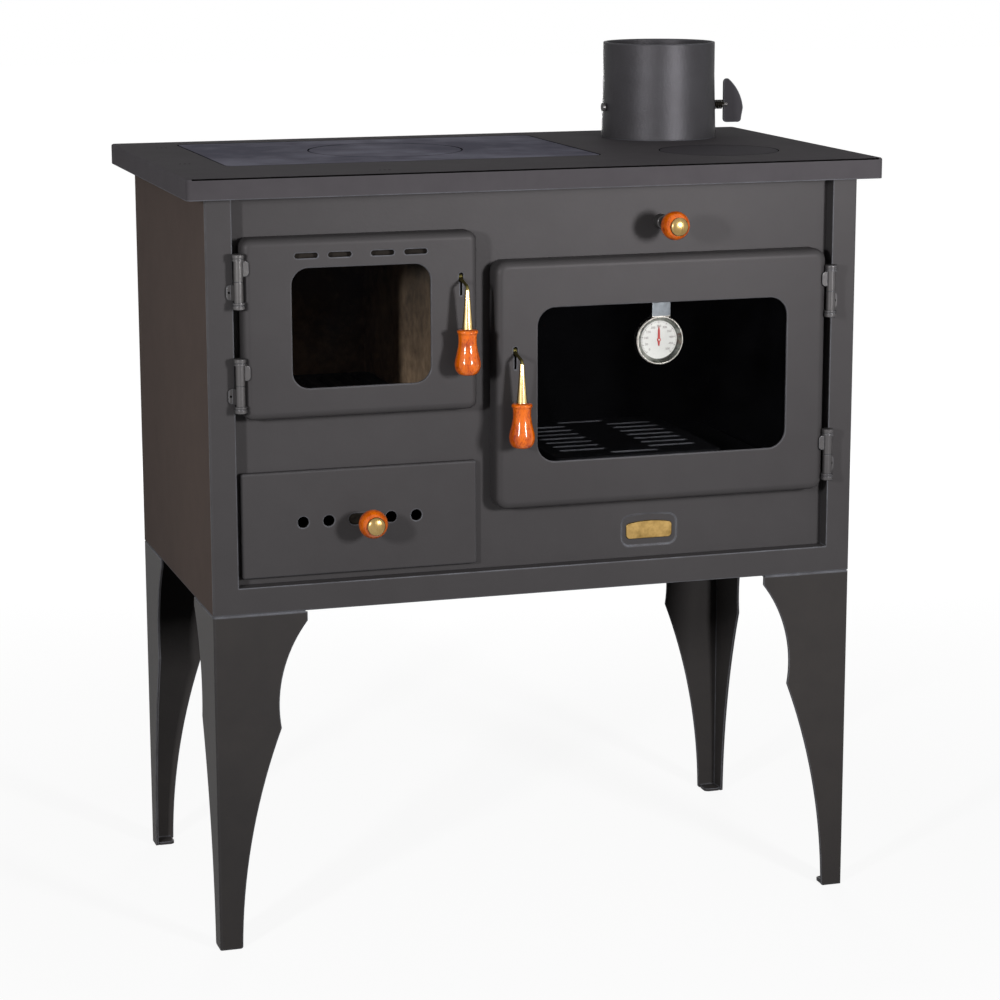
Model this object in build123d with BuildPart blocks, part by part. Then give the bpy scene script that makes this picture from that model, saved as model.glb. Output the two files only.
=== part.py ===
from build123d import *
import math
import os

# Wood cookstove: a sheet-steel body on four angle legs, with a glazed fire door and ash drawer
# on the left, a glazed oven door on the right, and a steel hob with a cast plate and a flue collar.
# Millimetres. +Z is up, the front faces -Y, the origin is on the floor under the centre of the
# whole object's box.

# ------------------------------------------------------------------ body
body_width = 648.0
body_depth = 352.0
body_height = 409.0            # underside of the body to the underside of the hob
leg_height = 331.0
front_y = -168.0               # face of the front frame
sheet = 2.0                    # body sheet
stile_width = 25.0
rail_height = 25.5
panel_recess = 15.0            # front frame to the recessed front panel

# ------------------------------------------------------------------ hob
hob_thickness = 4.0
hob_side_overhang = 19.5
hob_front_overhang = 18.0
hob_back_overhang = 25.0
hob_corner = 5.0
hob_round = 2.0                # along the top edges
apron_height = 20.0
apron_thickness = 3.0
ledge_width = 8.0              # how far a ledge reaches under a plate or cover
ledge_thickness = 3.0
plate_gap = 1.5                # all round the cast plate
lid_gap = 1.0                  # all round its lid
cover_gap = 0.6                # round the cover and the flue spigot

# cast plate, its lid and the flush cover in front of the flue
plate_width = 374.0
plate_depth = 244.0
plate_thickness = 8.0
plate_corner = 8.0
plate_side_inset = 43.0        # body's left side to the plate
plate_back_inset = 11.5        # body's back to the plate
rib_ring_width = 10.0
rib_width = 6.0
rib_depth = 5.0
rib_start_gap = 8.0            # lid seat to a rib
rib_end_gap = 26.5             # a rib to the plate's edge
lid_diameter = 153.0
lid_thickness = 4.0
lid_boss_thickness = 6.0
lid_edge = 0.4
cover_diameter = 118.0
cover_side_inset = 102.0       # body's right side to the middle of the cover
cover_front_inset = 110.0

# ------------------------------------------------------------------ flue
flue_side_inset = 102.5        # body's right side to the flue's axis
flue_back_inset = 69.0
flue_height = 99.0
flue_base_radius = 60.2
flue_top_radius = 58.4
flue_wall = 3.0
flue_top_straight = 34.0       # parallel length that takes the pipe
flue_spigot_radius = 56.0
flue_spigot_depth = 10.0

damper_rise = 32.0             # shaft above the hob
damper_disc_radius = 53.0
damper_disc_thickness = 2.0
damper_shaft_radius = 3.0
damper_handle_width = 22.0
damper_handle_up = 27.0
damper_handle_down = 19.0
damper_handle_thickness = 3.0
damper_stub = 3.5              # shaft head on the left of the collar
damper_head = 1.2              # how much thicker that head is than the shaft
damper_tang = 5.0              # shaft inside the handle
damper_tang_round = 1.5
handle_gap = 0.6               # spring to the handle
split_gap = 0.4                # shaft's split past the disc
spring_length = 13.0
spring_radius = 4.2            # centre of the wire
spring_wire = 0.7              # wire radius
spring_turns = 5.5

# ------------------------------------------------------------------ doors
door_depth = 22.0              # how far a door stands proud of the panel
door_gap = 0.8                 # rear rim to the panel
door_roll = 7.0                # rolled front edge
door_sheet = 2.0
seal_inset = 11.0              # door edge to the edge of its opening

opening_corner = 6.0           # of the openings in the front panel

fire_side_gap = 7.5            # left stile to the fire door
doors_gap = 18.0               # fire door to oven door
oven_side_gap = 8.5            # oven door to the right stile

fire_door_height = 169.5
fire_door_drop = 53.75         # underside of the hob to the top of the fire door
fire_door_corner = 9.0
fire_window_side = 46.25       # door edge to window, left and right
fire_window_rail = 28.5        # door edge to window, above and below
fire_window_corner = 16.0

oven_door_width = 338.0
oven_door_height = 239.5
oven_door_drop = 83.95
oven_door_corner = 12.0
oven_window_side = 41.25
oven_window_rail = 45.25
oven_window_corner = 18.0

glass_thickness = 4.0
glass_lap = 10.0               # glass behind the window edge
window_round = 0.8
retainer_thickness = 2.0
retainer_band_width = 7.5
retainer_band_depth = 5.6
retainer_fit = 0.3
retainer_setback = 3.0         # window edge to the retainer's
lever_clear = 4.0              # beside the lever, in the retainer
band_corner = 3.0              # inside corners of the band
gasket_width = 6.5
gasket_gap = 0.4               # gasket to the panel when shut
gasket_round = 2.0
gasket_corner = 2.5            # inside corners

vent_length = 22.5
vent_height = 5.0
vent_pitch = 32.0
vent_middle_half = 20.5        # centre line to the first slot centre
vent_drop = 16.85              # top of the fire door to the slots

# ------------------------------------------------------------------ hinges
hinge_out = 4.0                # axis outside the door edge
hinge_proud = 1.0              # axis in front of the door face
knuckle_radius = 4.5
knuckle_length = 19.3
knuckle_gap = 0.2
hinge_pin_radius = 2.5
running_gap = 0.05             # radial, in every turning joint
cap_radius = 6.0
cap_height = 6.3
cap_groove = 0.7
leaf_thickness = 2.2
leaf_height = 14.0
leaf_corner = 3.5
door_leaf_rise = 2.0           # door leaf above the middle of its knuckle
frame_leaf_fall = 1.0
door_leaf_reach = 9.5
frame_leaf_reach = 10.0
fire_hinge_drop = 38.35        # top of the door to the middle of its upper hinge
fire_hinge_rise = 34.25        # foot of the door to the middle of its lower hinge
oven_hinge_drop = 41.15
oven_hinge_rise = 35.65

# ------------------------------------------------------------------ latches
fire_latch_inset = 16.5        # door edge to the lever
fire_latch_rise = 41.5         # pivot above the middle of the door
oven_latch_inset = 19.0
oven_latch_rise = 33.7
latch_pivot_back = 3.5         # pivot behind the door skin
latch_pin_radius = 1.5
lever_hub_radius = 4.0
lever_arm_height = 7.0
lever_reach_back = 31.5        # pivot to the tip of the nose
nose_length = 7.0
nose_rise = 9.0
rod_radius = 1.5                # the lever is as thick as its rod
rod_drop = 6.0                 # from the pivot to the bend
rod_bend = 3.0
grip_out = 20.0                # grip axis in front of the door face
ferrule_top_radius = 2.1
ferrule_base_radius = 5.5
ferrule_length = 38.0
ferrule_cover = 2.6            # ferrule top below the bend
rod_tail = 16.0                # rod inside the ferrule
grip_length = 42.5
grip_flange_radius = 10.0
grip_flange_height = 4.0       # rounded bead at the top
grip_neck_radius = 7.9
grip_belly_radius = 12.3
keyhole_width = 4.6
keyhole_top = 4.8              # above the pivot
keyhole_bottom = 4.8
slit_width = 2.4
slit_drop = 17.0               # below the pivot
ear_thickness = 2.0
ear_side_gap = 0.3             # beside the lever
ear_depth = 7.5
ear_half_height = 6.0
catch_gap = 0.6                # nose under its catch
catch_depth = 8.0
catch_setback = 2.0            # behind the front panel
catch_overlap = 4.0            # past the middle of the lever
catch_height = 6.0

# ------------------------------------------------------------------ knobs
ball_radius = 13.8
ball_front_cut = 10.4
ball_back_cut = 12.3
knob_cap_radius = 8.9
knob_cap_edge = 0.6
knob_cap_height = 4.4
bypass_cap_reach = 41.0        # front of the bypass knob in front of the frame
air_ball_reach = 28.0          # ball centre in front of the drawer front

# ------------------------------------------------------------------ bypass damper over the oven
bypass_offset = 3.5            # right of the middle of the oven
bypass_drop = 53.5             # below the underside of the hob
bypass_rod_radius = 4.0
bypass_bush_radius = 7.2
bypass_bush_length = 12.0
bush_shoulder = 1.5
bypass_travel = 62.0
shutter_length = 74.0
shutter_height = 56.0
shutter_thickness = 3.7
shutter_corner = 4.0
shutter_weld = 0.4             # how far the shutter takes in the rod
port_length = 58.0
port_height = 44.0
shutter_back_inset = 89.0      # body's back to the middle of the shutter
baffle_gap = 0.3
lug_setback = 60.0             # lug behind the front panel
lug_reach = 16.0
lug_height = 18.0
lug_thickness = 10.0

# ------------------------------------------------------------------ ash drawer
drawer_lap = 2.5               # how much wider than the fire door on each side
drawer_height = 101.0
drawer_low = 32.1              # foot of the drawer front above the underside of the body
drawer_depth = 6.7             # folded front
drawer_inset = 8.0             # front's edge to its opening
drawer_edge = 1.6
drawer_rear_gap = 0.3
air_hole_radius = 5.5
air_hole_rise = 1.0            # above the middle of the drawer
air_hole_first = 30.5
air_hole_pitch = 25.0
air_travel = 11.0
slider_length = 160.0
slider_height = 19.0
slider_thickness = 1.5
slider_side_gap = 0.4
slider_guide_height = 4.0
slider_guide_spare = 10.0      # guide past each end of the slider
liner_window_border = 3.0
air_stem_radius = 3.0
pan_side_gap = 4.5             # pan to the edge of its opening
pan_back_gap = 35.3            # pan to the back of the firebox
pan_wall = 1.5
pan_height = 60.0
pan_front_height = 30.0
pan_floor_gap = 0.3
pan_corner = 4.0
pan_front_border = 5.0         # beside the low part of the pan's front
runner_width = 14.0
runner_inset = 10.0            # under the pan
runner_back_gap = 4.0

# ------------------------------------------------------------------ firebox
firebox_clear = 3.0            # side wall outside the edge of the door's opening
firebox_wall = 3.0
firebox_back_gap = 32.0        # inside of the back wall to the body's back sheet
grate_sill = 15.75             # top of the grate below the door's opening
firebox_low_wall = 14.95       # top of the oven side wall above the oven
firebox_top_gap = 3.0
brick_thickness = 25.0
brick_chamfer = 4.0
brick_front_gap = 20.0         # behind the front panel, room for the latch nose
side_brick_height = 152.0
back_brick_height = 190.0
grate_length = 200.0
grate_thickness = 12.0
grate_seat = 9.0
grate_side_gap = 1.5
grate_bar_pitch = 19.0
grate_slot_width = 9.0
grate_slot_count = 7
grate_end_rim = 17.0
grate_corner = 6.0
grate_round = 2.0

# ------------------------------------------------------------------ oven
oven_wall = 2.0
oven_clear = 8.0               # side wall outside the edge of the door's opening
oven_back_gap = 52.0           # inside of the back wall to the body's back sheet
oven_corner = 6.0
tray_side_gap = 16.0
tray_back_gap = 14.0
tray_corner = 14.0
tray_wall = 1.5
tray_rim_height = 9.0
tray_rise = 14.0
tray_side_border = 57.0
tray_end_border = 24.0
tray_front_gap = 11.0          # behind the front panel
tray_edge_round = 3.0
tray_deck_round = 2.5
tray_deck_taper = 20.0         # degrees
tray_seat = 0.3
tray_slot_length = 50.0
tray_slot_width = 7.0
tray_slot_pitch = 21.0
tray_slot_rows = 7
tray_slot_offset = 47.0

# ------------------------------------------------------------------ thermometer
thermo_radius = 24.0
thermo_depth = 9.0
thermo_wall = 1.2
thermo_lip = 1.6               # rim round the mouth of the case
thermo_round = 0.8
thermo_drop = 38.3             # top of the window to the middle of the dial
thermo_front = 2.0             # case behind the glass retainer
dial_setback = 4.5             # behind the rim, at the foot of the cone
dial_radius = 18.8
dial_thickness = 1.0
dial_gap = 0.1
dial_seat = 3.0                # shoulder under the dial
strap_width = 18.6
strap_thickness = 1.0
strap_rise = 9.0               # strap above the window edge
strap_foot = 6.0
strap_weld = 0.6               # how far the strap's foot is sunk in the case
needle_length = 13.5
needle_tail = 6.0
needle_point = 4.0
needle_gap = 0.3               # dial to needle
needle_hub_radius = 1.9
needle_thickness = 0.5
needle_post_radius = 0.8

# ------------------------------------------------------------------ badge
badge_offset = -5.2            # from the middle of the oven door
badge_rise = 52.3              # above the underside of the body
badge_width = 47.5
badge_height = 17.8
badge_arch = 2.6               # rise of the arched top
badge_corner = 4.0
badge_thickness = 1.4
badge_edge = 0.5
badge_border = 5.3             # recess round the plate, left and right
badge_head = 7.4               # above and below
badge_recess_corner = 9.0
badge_recess_depth = 1.0
badge_recess_slope = 35.0      # degrees

# ------------------------------------------------------------------ legs
leg_sheet = 2.5
leg_top_width = 91.0
leg_top_band = 8.5
leg_scallop_width = 66.5
leg_scallop_drop = 59.5        # below the top of the leg
leg_cusp_width = 64.0
leg_cusp_drop = 113.7
leg_waist_width = 39.3
leg_waist_share = 0.634        # of the cusp's height
leg_foot_width = 22.2
leg_foot_corner = 2.5
leg_shadow_gap = 1.5
leg_flange = 88.0
leg_bolt_radius = 3.0
leg_bolt_inset = 22.0
leg_bolt_spread = 26.0
bolt_head_radius = 5.6
bolt_head_height = 4.0
bolt_end = 3.0                 # past the floor of the body
foot_plate = 19.0
foot_plate_corner = 5.0
foot_plate_thickness = 3.0

# ------------------------------------------------------------------ worked out from the above
half_width = body_width / 2
back_y = front_y + body_depth
panel_y = front_y + panel_recess
panel_back = panel_y + sheet
base_z = leg_height
inside_z = base_z + sheet
hob_under = base_z + body_height
hob_z = hob_under + hob_thickness
flue_x = half_width - flue_side_inset
flue_y = back_y - flue_back_inset
cover_x = half_width - cover_side_inset
cover_y = front_y + cover_front_inset
plate_x = -half_width + plate_side_inset + plate_width / 2
plate_y = back_y - plate_back_inset - plate_depth / 2
doors_width = body_width - 2 * stile_width - fire_side_gap - doors_gap - oven_side_gap
fire_door_width = doors_width - oven_door_width
fire_x = -half_width + stile_width + fire_side_gap + fire_door_width / 2
oven_x = half_width - stile_width - oven_side_gap - oven_door_width / 2
fire_door_z = hob_under - fire_door_drop - fire_door_height / 2
oven_door_z = hob_under - oven_door_drop - oven_door_height / 2
fire_window_width = fire_door_width - 2 * fire_window_side
fire_window_height = fire_door_height - 2 * fire_window_rail
oven_window_width = oven_door_width - 2 * oven_window_side
oven_window_height = oven_door_height - 2 * oven_window_rail
vent_rise = fire_door_height / 2 - vent_drop
fire_hinge_rises = (fire_door_height / 2 - fire_hinge_drop, fire_hinge_rise - fire_door_height / 2)
oven_hinge_rises = (oven_door_height / 2 - oven_hinge_drop, oven_hinge_rise - oven_door_height / 2)
bypass_x = oven_x + bypass_offset
bypass_z = hob_under - bypass_drop
shutter_mid_y = back_y - shutter_back_inset
drawer_width = fire_door_width + 2 * drawer_lap
drawer_z = base_z + drawer_low + drawer_height / 2
badge_x = oven_x + badge_offset
badge_z = base_z + badge_rise
leg_cusp_height = leg_height - leg_cusp_drop
leg_scallop_height = leg_height - leg_scallop_drop
leg_waist_height = leg_waist_share * leg_cusp_height
door_back = panel_y - door_gap
door_front = panel_y - door_gap - door_depth
skin_back = door_front + door_sheet
glass_back = skin_back + glass_thickness
retainer_back = glass_back + retainer_thickness
band_back = retainer_back + retainer_band_depth
hinge_y = door_front - hinge_proud
drawer_front_y = panel_y - drawer_rear_gap - drawer_depth
firebox_floor = fire_door_z - fire_door_height / 2 + seal_inset - grate_sill - grate_thickness
firebox_half = fire_door_width / 2 - seal_inset + firebox_clear
firebox_back = back_y - sheet - firebox_back_gap
firebox_length = firebox_back - panel_back
grate_width = 2 * (firebox_half - brick_thickness - grate_side_gap)
oven_floor = oven_door_z - oven_door_height / 2 + seal_inset
oven_ceiling = oven_door_z + oven_door_height / 2 - seal_inset
oven_half = oven_door_width / 2 - seal_inset + oven_clear
oven_back = back_y - sheet - oven_back_gap
oven_length = oven_back - panel_back
tray_width = 2 * (oven_half - tray_side_gap)
tray_length = oven_length - tray_front_gap - tray_back_gap
tray_deck_width = tray_width - 2 * tray_side_border
tray_deck_length = tray_length - 2 * tray_end_border
fire_lever_x = fire_x + fire_door_width / 2 - fire_latch_inset
fire_pivot_z = fire_door_z + fire_latch_rise
oven_lever_x = oven_x - oven_door_width / 2 + oven_latch_inset
oven_pivot_z = oven_door_z + oven_latch_rise
pivot_y = skin_back + latch_pivot_back
lever_thickness = 2 * rod_radius
grip_y = door_front - grip_out
damper_z = hob_z + damper_rise

os.makedirs("parts", exist_ok=True)


def facing(x, y, z):
    """Plane at a point, facing the viewer: its X is +X, its Y is +Z and its normal is -Y."""
    return Plane(origin=(x, y, z), x_dir=(1, 0, 0), z_dir=(0, -1, 0))


def sideways(x, y, z):
    """Plane at a point, facing right: its X is +Y, its Y is +Z and its normal is +X."""
    return Plane(origin=(x, y, z), x_dir=(0, 1, 0), z_dir=(1, 0, 0))


def save(piece, label):
    """Label a finished sub-part and write it to its own file."""
    piece.label = label
    export_step(piece, f"parts/{label}.step")


# ================================================================== body panels
# One sheet folded in a U: left side, back and right side.
with BuildPart() as body_wrap:
    wrap_length = body_depth - sheet
    with BuildSketch(Plane.XY.offset(base_z)):
        with Locations((0, front_y + sheet + wrap_length / 2)):
            Rectangle(body_width, wrap_length)
        with Locations((0, front_y + sheet + (wrap_length - sheet) / 2)):
            Rectangle(body_width - 2 * sheet, wrap_length - sheet, mode=Mode.SUBTRACT)
    extrude(amount=body_height)
    fold_edges = body_wrap.edges().filter_by(Axis.Z).group_by(Axis.Y)[-1]
    fillet(fold_edges, sheet * 0.8)
save(body_wrap.part, "body_wrap")

with BuildPart() as bottom_panel:
    inner_length = body_depth - 2 * sheet
    with BuildSketch(Plane.XY.offset(base_z)):
        with Locations((0, front_y + sheet + inner_length / 2)):
            Rectangle(body_width - 2 * sheet, inner_length)
        for side_x in (-1, 1):
            for side_y, edge_y in ((1, front_y), (-1, back_y)):
                for spread in (0, leg_bolt_spread):
                    bolt_x = side_x * (half_width - leg_bolt_inset - spread)
                    bolt_y = edge_y + side_y * (leg_bolt_inset + leg_bolt_spread - spread)
                    with Locations((bolt_x, bolt_y)):
                        Circle(leg_bolt_radius, mode=Mode.SUBTRACT)
    extrude(amount=sheet)
save(bottom_panel.part, "bottom_panel")

# U-shaped frame round the recessed panel: a flat face with returns to the panel on its inner edges.
with BuildPart() as front_frame:
    opening_width = body_width - 2 * stile_width
    opening_height = body_height - rail_height
    opening_z = base_z + rail_height + opening_height / 2
    with BuildSketch(facing(0, front_y + sheet, 0)):
        with Locations((0, base_z + body_height / 2)):
            Rectangle(body_width, body_height)
        with Locations((0, opening_z)):
            Rectangle(opening_width, opening_height, mode=Mode.SUBTRACT)
    extrude(amount=sheet)
    with BuildSketch(facing(0, panel_y, 0)):
        with Locations((0, opening_z - sheet / 2)):
            Rectangle(opening_width + 2 * sheet, opening_height + sheet)
        with Locations((0, opening_z)):
            Rectangle(opening_width, opening_height, mode=Mode.SUBTRACT)
    extrude(amount=panel_recess - sheet)
    corner_edges = front_frame.edges().filter_by(Axis.Z).group_by(Axis.Y)[0]
    fillet(corner_edges.group_by(Axis.X)[0] + corner_edges.group_by(Axis.X)[-1], sheet * 0.8)
save(front_frame.part, "front_frame")

def badge_outline(width, height, corner):
    """Outline of the badge: straight sides and foot, an arched top and rounded corners."""
    shoulder = height / 2 - badge_arch
    with BuildSketch() as outline:
        with BuildLine():
            Polyline((-width / 2, shoulder), (-width / 2, -height / 2), (width / 2, -height / 2),
                     (width / 2, shoulder))
            ThreePointArc((width / 2, shoulder), (0, height / 2), (-width / 2, shoulder))
        make_face()
        fillet(outline.vertices(), corner)
    return outline.sketch


# Recessed front panel with its three openings, the bypass hole and the pressed badge recess.
with BuildPart() as front_panel:
    panel_height = body_height - sheet
    with BuildSketch(facing(0, panel_back, 0)):
        with Locations((0, inside_z + panel_height / 2)):
            Rectangle(body_width - 2 * sheet, panel_height)
        with Locations((fire_x, fire_door_z)):
            RectangleRounded(fire_door_width - 2 * seal_inset, fire_door_height - 2 * seal_inset,
                             opening_corner, mode=Mode.SUBTRACT)
        with Locations((oven_x, oven_door_z)):
            RectangleRounded(oven_door_width - 2 * seal_inset, oven_door_height - 2 * seal_inset,
                             opening_corner, mode=Mode.SUBTRACT)
        with Locations((fire_x, drawer_z)):
            RectangleRounded(drawer_width - 2 * drawer_inset, drawer_height - 2 * drawer_inset,
                             opening_corner / 2, mode=Mode.SUBTRACT)
        with Locations((bypass_x, bypass_z)):
            Circle(bypass_bush_radius - bush_shoulder, mode=Mode.SUBTRACT)
    extrude(amount=sheet)
    with BuildSketch(facing(badge_x, panel_y, badge_z)):
        add(badge_outline(badge_width + 2 * badge_border, badge_height + 2 * badge_head,
                          badge_recess_corner))
    extrude(amount=-badge_recess_depth, taper=badge_recess_slope, mode=Mode.SUBTRACT)
save(front_panel.part, "front_panel")

with BuildPart() as badge_plate:
    with BuildSketch(facing(badge_x, panel_y + badge_recess_depth, badge_z)):
        add(badge_outline(badge_width, badge_height, badge_corner))
    extrude(amount=badge_thickness)
    chamfer(badge_plate.faces().sort_by(Axis.Y)[0].edges(), badge_edge)
save(badge_plate.part, "badge_plate")


# ================================================================== legs
def leg_outline():
    """Half of a leg: a bracket shape in the plane of its flange, from the corner outwards.

    Drawn in the sketch's own X (outwards from the corner) and Y (height above the floor).
    """
    top = leg_height - leg_shadow_gap
    band = top - leg_top_band
    with BuildLine() as outline:
        Line((0, 0), (0, top))
        Line((0, top), (leg_top_width, top))
        Line((leg_top_width, top), (leg_top_width, band))
        ThreePointArc((leg_top_width, band), (leg_scallop_width, leg_scallop_height),
                      (leg_cusp_width, leg_cusp_height))
        ThreePointArc((leg_cusp_width, leg_cusp_height), (leg_waist_width, leg_waist_height),
                      (leg_foot_width, leg_foot_corner))
        corner_middle = leg_foot_corner * (1 - math.sqrt(0.5))
        ThreePointArc((leg_foot_width, leg_foot_corner),
                      (leg_foot_width - corner_middle, corner_middle),
                      (leg_foot_width - leg_foot_corner, 0))
        Line((leg_foot_width - leg_foot_corner, 0), (0, 0))
    return outline


def make_leg(side_x, side_y):
    """Angle leg with two equal bracket-shaped flanges, a bolting flange on top and a foot plate."""
    corner_x = side_x * half_width
    corner_y = front_y if side_y < 0 else back_y
    flange_plane = Plane(origin=(corner_x, corner_y, 0), x_dir=(-side_x, 0, 0),
                         z_dir=(0, side_x, 0))
    side_plane = Plane(origin=(corner_x, corner_y, 0), x_dir=(0, -side_y, 0),
                       z_dir=(-side_y, 0, 0))
    outline = leg_outline()
    inner = 0.5 * leg_sheet
    with BuildPart() as leg:
        with BuildSketch(flange_plane):
            with BuildLine():
                add(outline.line)
            make_face()
        extrude(amount=-leg_sheet * side_x * side_y)
        with BuildSketch(side_plane):
            with BuildLine():
                add(outline.line)
            make_face()
        extrude(amount=leg_sheet * side_x * side_y)
        fillet(leg.edges().filter_by(Axis.Z).sort_by_distance((corner_x, corner_y, leg_height / 2))[0],
               leg_sheet * 0.8)
        corner = Vector(corner_x - side_x * inner, corner_y - side_y * inner)
        with BuildSketch(Plane.XY.offset(leg_height - leg_sheet)):
            with Locations((corner.X - side_x * leg_flange / 2, corner.Y - side_y * leg_flange / 2)):
                Rectangle(leg_flange, leg_flange)
            for spread in (0, leg_bolt_spread):
                with Locations((corner_x - side_x * (leg_bolt_inset + spread),
                                corner_y - side_y * (leg_bolt_inset + leg_bolt_spread - spread))):
                    Circle(leg_bolt_radius, mode=Mode.SUBTRACT)
        extrude(amount=leg_sheet)
        with BuildSketch(Plane.XY):
            with Locations((corner.X - side_x * foot_plate / 2, corner.Y - side_y * foot_plate / 2)):
                RectangleRounded(foot_plate, foot_plate, foot_plate_corner)
            with Locations((corner.X - side_x * foot_plate / 4, corner.Y - side_y * foot_plate / 4)):
                Rectangle(foot_plate / 2, foot_plate / 2)
        extrude(amount=foot_plate_thickness)
    return leg.part


for leg_name, leg_side_x, leg_side_y in (("leg_front_left", -1, -1), ("leg_front_right", 1, -1),
                                         ("leg_back_left", -1, 1), ("leg_back_right", 1, 1)):
    save(make_leg(leg_side_x, leg_side_y), leg_name)

# Bolts that hold the legs: two to a leg, hexagon heads under the flange, shanks through the floor.
with BuildPart() as leg_bolts:
    for side_x in (-1, 1):
        for side_y, edge_y in ((1, front_y), (-1, back_y)):
            for spread in (0, leg_bolt_spread):
                bolt_x = side_x * (half_width - leg_bolt_inset - spread)
                bolt_y = edge_y + side_y * (leg_bolt_inset + leg_bolt_spread - spread)
                with BuildSketch(Plane.XY.offset(leg_height - leg_sheet - bolt_head_height)):
                    with Locations((bolt_x, bolt_y)):
                        RegularPolygon(bolt_head_radius, 6)
                extrude(amount=bolt_head_height)
                with BuildSketch(Plane.XY.offset(leg_height - leg_sheet)):
                    with Locations((bolt_x, bolt_y)):
                        Circle(leg_bolt_radius)
                extrude(amount=leg_sheet + sheet + bolt_end)
save(leg_bolts.part, "leg_bolts")


# ================================================================== hob
hob_width = body_width + 2 * hob_side_overhang
hob_depth = body_depth + hob_front_overhang + hob_back_overhang
hob_mid_y = front_y - hob_front_overhang + hob_depth / 2
plate_ledge_z = hob_z - plate_thickness
cover_ledge_z = hob_z - lid_thickness

with BuildPart() as top_plate:
    with BuildSketch(Plane.XY.offset(hob_z - apron_height)):
        with Locations((0, hob_mid_y)):
            RectangleRounded(hob_width, hob_depth, hob_corner)
    extrude(amount=apron_height)
    fillet(top_plate.faces().sort_by(Axis.Z)[-1].edges(), hob_round)
    with BuildSketch(Plane.XY.offset(hob_z - apron_height)):
        with Locations((0, hob_mid_y)):
            RectangleRounded(hob_width - 2 * apron_thickness, hob_depth - 2 * apron_thickness,
                             hob_corner - apron_thickness)
    extrude(amount=apron_height - hob_thickness, mode=Mode.SUBTRACT)
    # ledges hung under the openings of the cast plate and of the round cover
    with BuildSketch(Plane.XY.offset(plate_ledge_z - ledge_thickness)):
        with Locations((plate_x, plate_y)):
            RectangleRounded(plate_width + 2 * ledge_width, plate_depth + 2 * ledge_width,
                             plate_corner + ledge_width)
    extrude(until=Until.NEXT)
    with BuildSketch(Plane.XY.offset(cover_ledge_z - ledge_thickness)):
        with Locations((cover_x, cover_y)):
            Circle(cover_diameter / 2 + ledge_width)
    extrude(amount=ledge_thickness)
    with BuildSketch(Plane.XY.offset(plate_ledge_z)):
        with Locations((plate_x, plate_y)):
            RectangleRounded(plate_width + 2 * plate_gap, plate_depth + 2 * plate_gap,
                             plate_corner + plate_gap)
    extrude(amount=plate_thickness, mode=Mode.SUBTRACT)
    with BuildSketch(Plane.XY.offset(plate_ledge_z - ledge_thickness)):
        with Locations((plate_x, plate_y)):
            RectangleRounded(plate_width - 2 * ledge_width, plate_depth - 2 * ledge_width,
                             plate_corner)
    extrude(amount=ledge_thickness, mode=Mode.SUBTRACT)
    with BuildSketch(Plane.XY.offset(cover_ledge_z)):
        with Locations((cover_x, cover_y)):
            Circle(cover_diameter / 2 + cover_gap)
    extrude(amount=lid_thickness, mode=Mode.SUBTRACT)
    with BuildSketch(Plane.XY.offset(cover_ledge_z - ledge_thickness)):
        with Locations((cover_x, cover_y)):
            Circle(cover_diameter / 2 - ledge_width)
        with Locations((flue_x, flue_y)):
            Circle(flue_spigot_radius + cover_gap)
    extrude(amount=apron_height, mode=Mode.SUBTRACT)
save(top_plate.part, "top_plate")

lid_hole_z = hob_z - lid_thickness
lid_seat_radius = lid_diameter / 2 - ledge_width

with BuildPart() as cooktop_plate:
    with BuildSketch(Plane.XY.offset(plate_ledge_z)):
        with Locations((plate_x, plate_y)):
            RectangleRounded(plate_width, plate_depth, plate_corner)
            Circle(lid_seat_radius, mode=Mode.SUBTRACT)
    extrude(amount=plate_thickness)
    with BuildSketch(Plane.XY.offset(lid_hole_z)):
        with Locations((plate_x, plate_y)):
            Circle(lid_diameter / 2 + lid_gap)
    extrude(amount=lid_thickness, mode=Mode.SUBTRACT)
    # stiffening ribs on the underside, clear of the ledge
    rib_start = lid_seat_radius + rib_start_gap
    rib_end = plate_width / 2 - rib_end_gap
    with BuildSketch(Plane.XY.offset(plate_ledge_z - rib_depth)):
        with Locations((plate_x, plate_y)):
            Circle(lid_seat_radius + rib_ring_width)
            Circle(lid_seat_radius, mode=Mode.SUBTRACT)
        for rib_side in (-1, 1):
            with Locations((plate_x + rib_side * (rib_start + rib_end) / 2, plate_y)):
                Rectangle(rib_end - rib_start, rib_width)
    extrude(amount=rib_depth)
save(cooktop_plate.part, "cooktop_plate")


def make_round_cover(x, y, diameter, boss_radius):
    """Round cast cover: a flush disc with a locating boss under it."""
    with BuildPart() as cover:
        with BuildSketch(Plane.XY.offset(hob_z - lid_thickness)):
            with Locations((x, y)):
                Circle(diameter / 2)
        extrude(amount=lid_thickness)
        chamfer(cover.faces().sort_by(Axis.Z)[-1].edges(), lid_edge)
        with BuildSketch(Plane.XY.offset(hob_z - lid_thickness - lid_boss_thickness)):
            with Locations((x, y)):
                Circle(boss_radius)
                Circle(boss_radius - lid_boss_thickness, mode=Mode.SUBTRACT)
        extrude(amount=lid_boss_thickness)
    return cover.part


save(make_round_cover(plate_x, plate_y, lid_diameter, lid_seat_radius - lid_gap), "cooktop_lid")
save(make_round_cover(cover_x, cover_y, cover_diameter,
                      cover_diameter / 2 - ledge_width - cover_gap), "flue_cover")


# ================================================================== flue collar and its damper
def collar_outer(z):
    """Outer radius of the collar at a height: parallel at the top, tapered below."""
    straight_z = hob_z + flue_height - flue_top_straight
    share = min(max((z - hob_z) / (straight_z - hob_z), 0), 1)
    return flue_base_radius + share * (flue_top_radius - flue_base_radius)


damper_hole_radius = damper_shaft_radius + running_gap
collar_right_x = flue_x + collar_outer(damper_z)
collar_left_x = flue_x - collar_outer(damper_z)

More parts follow.
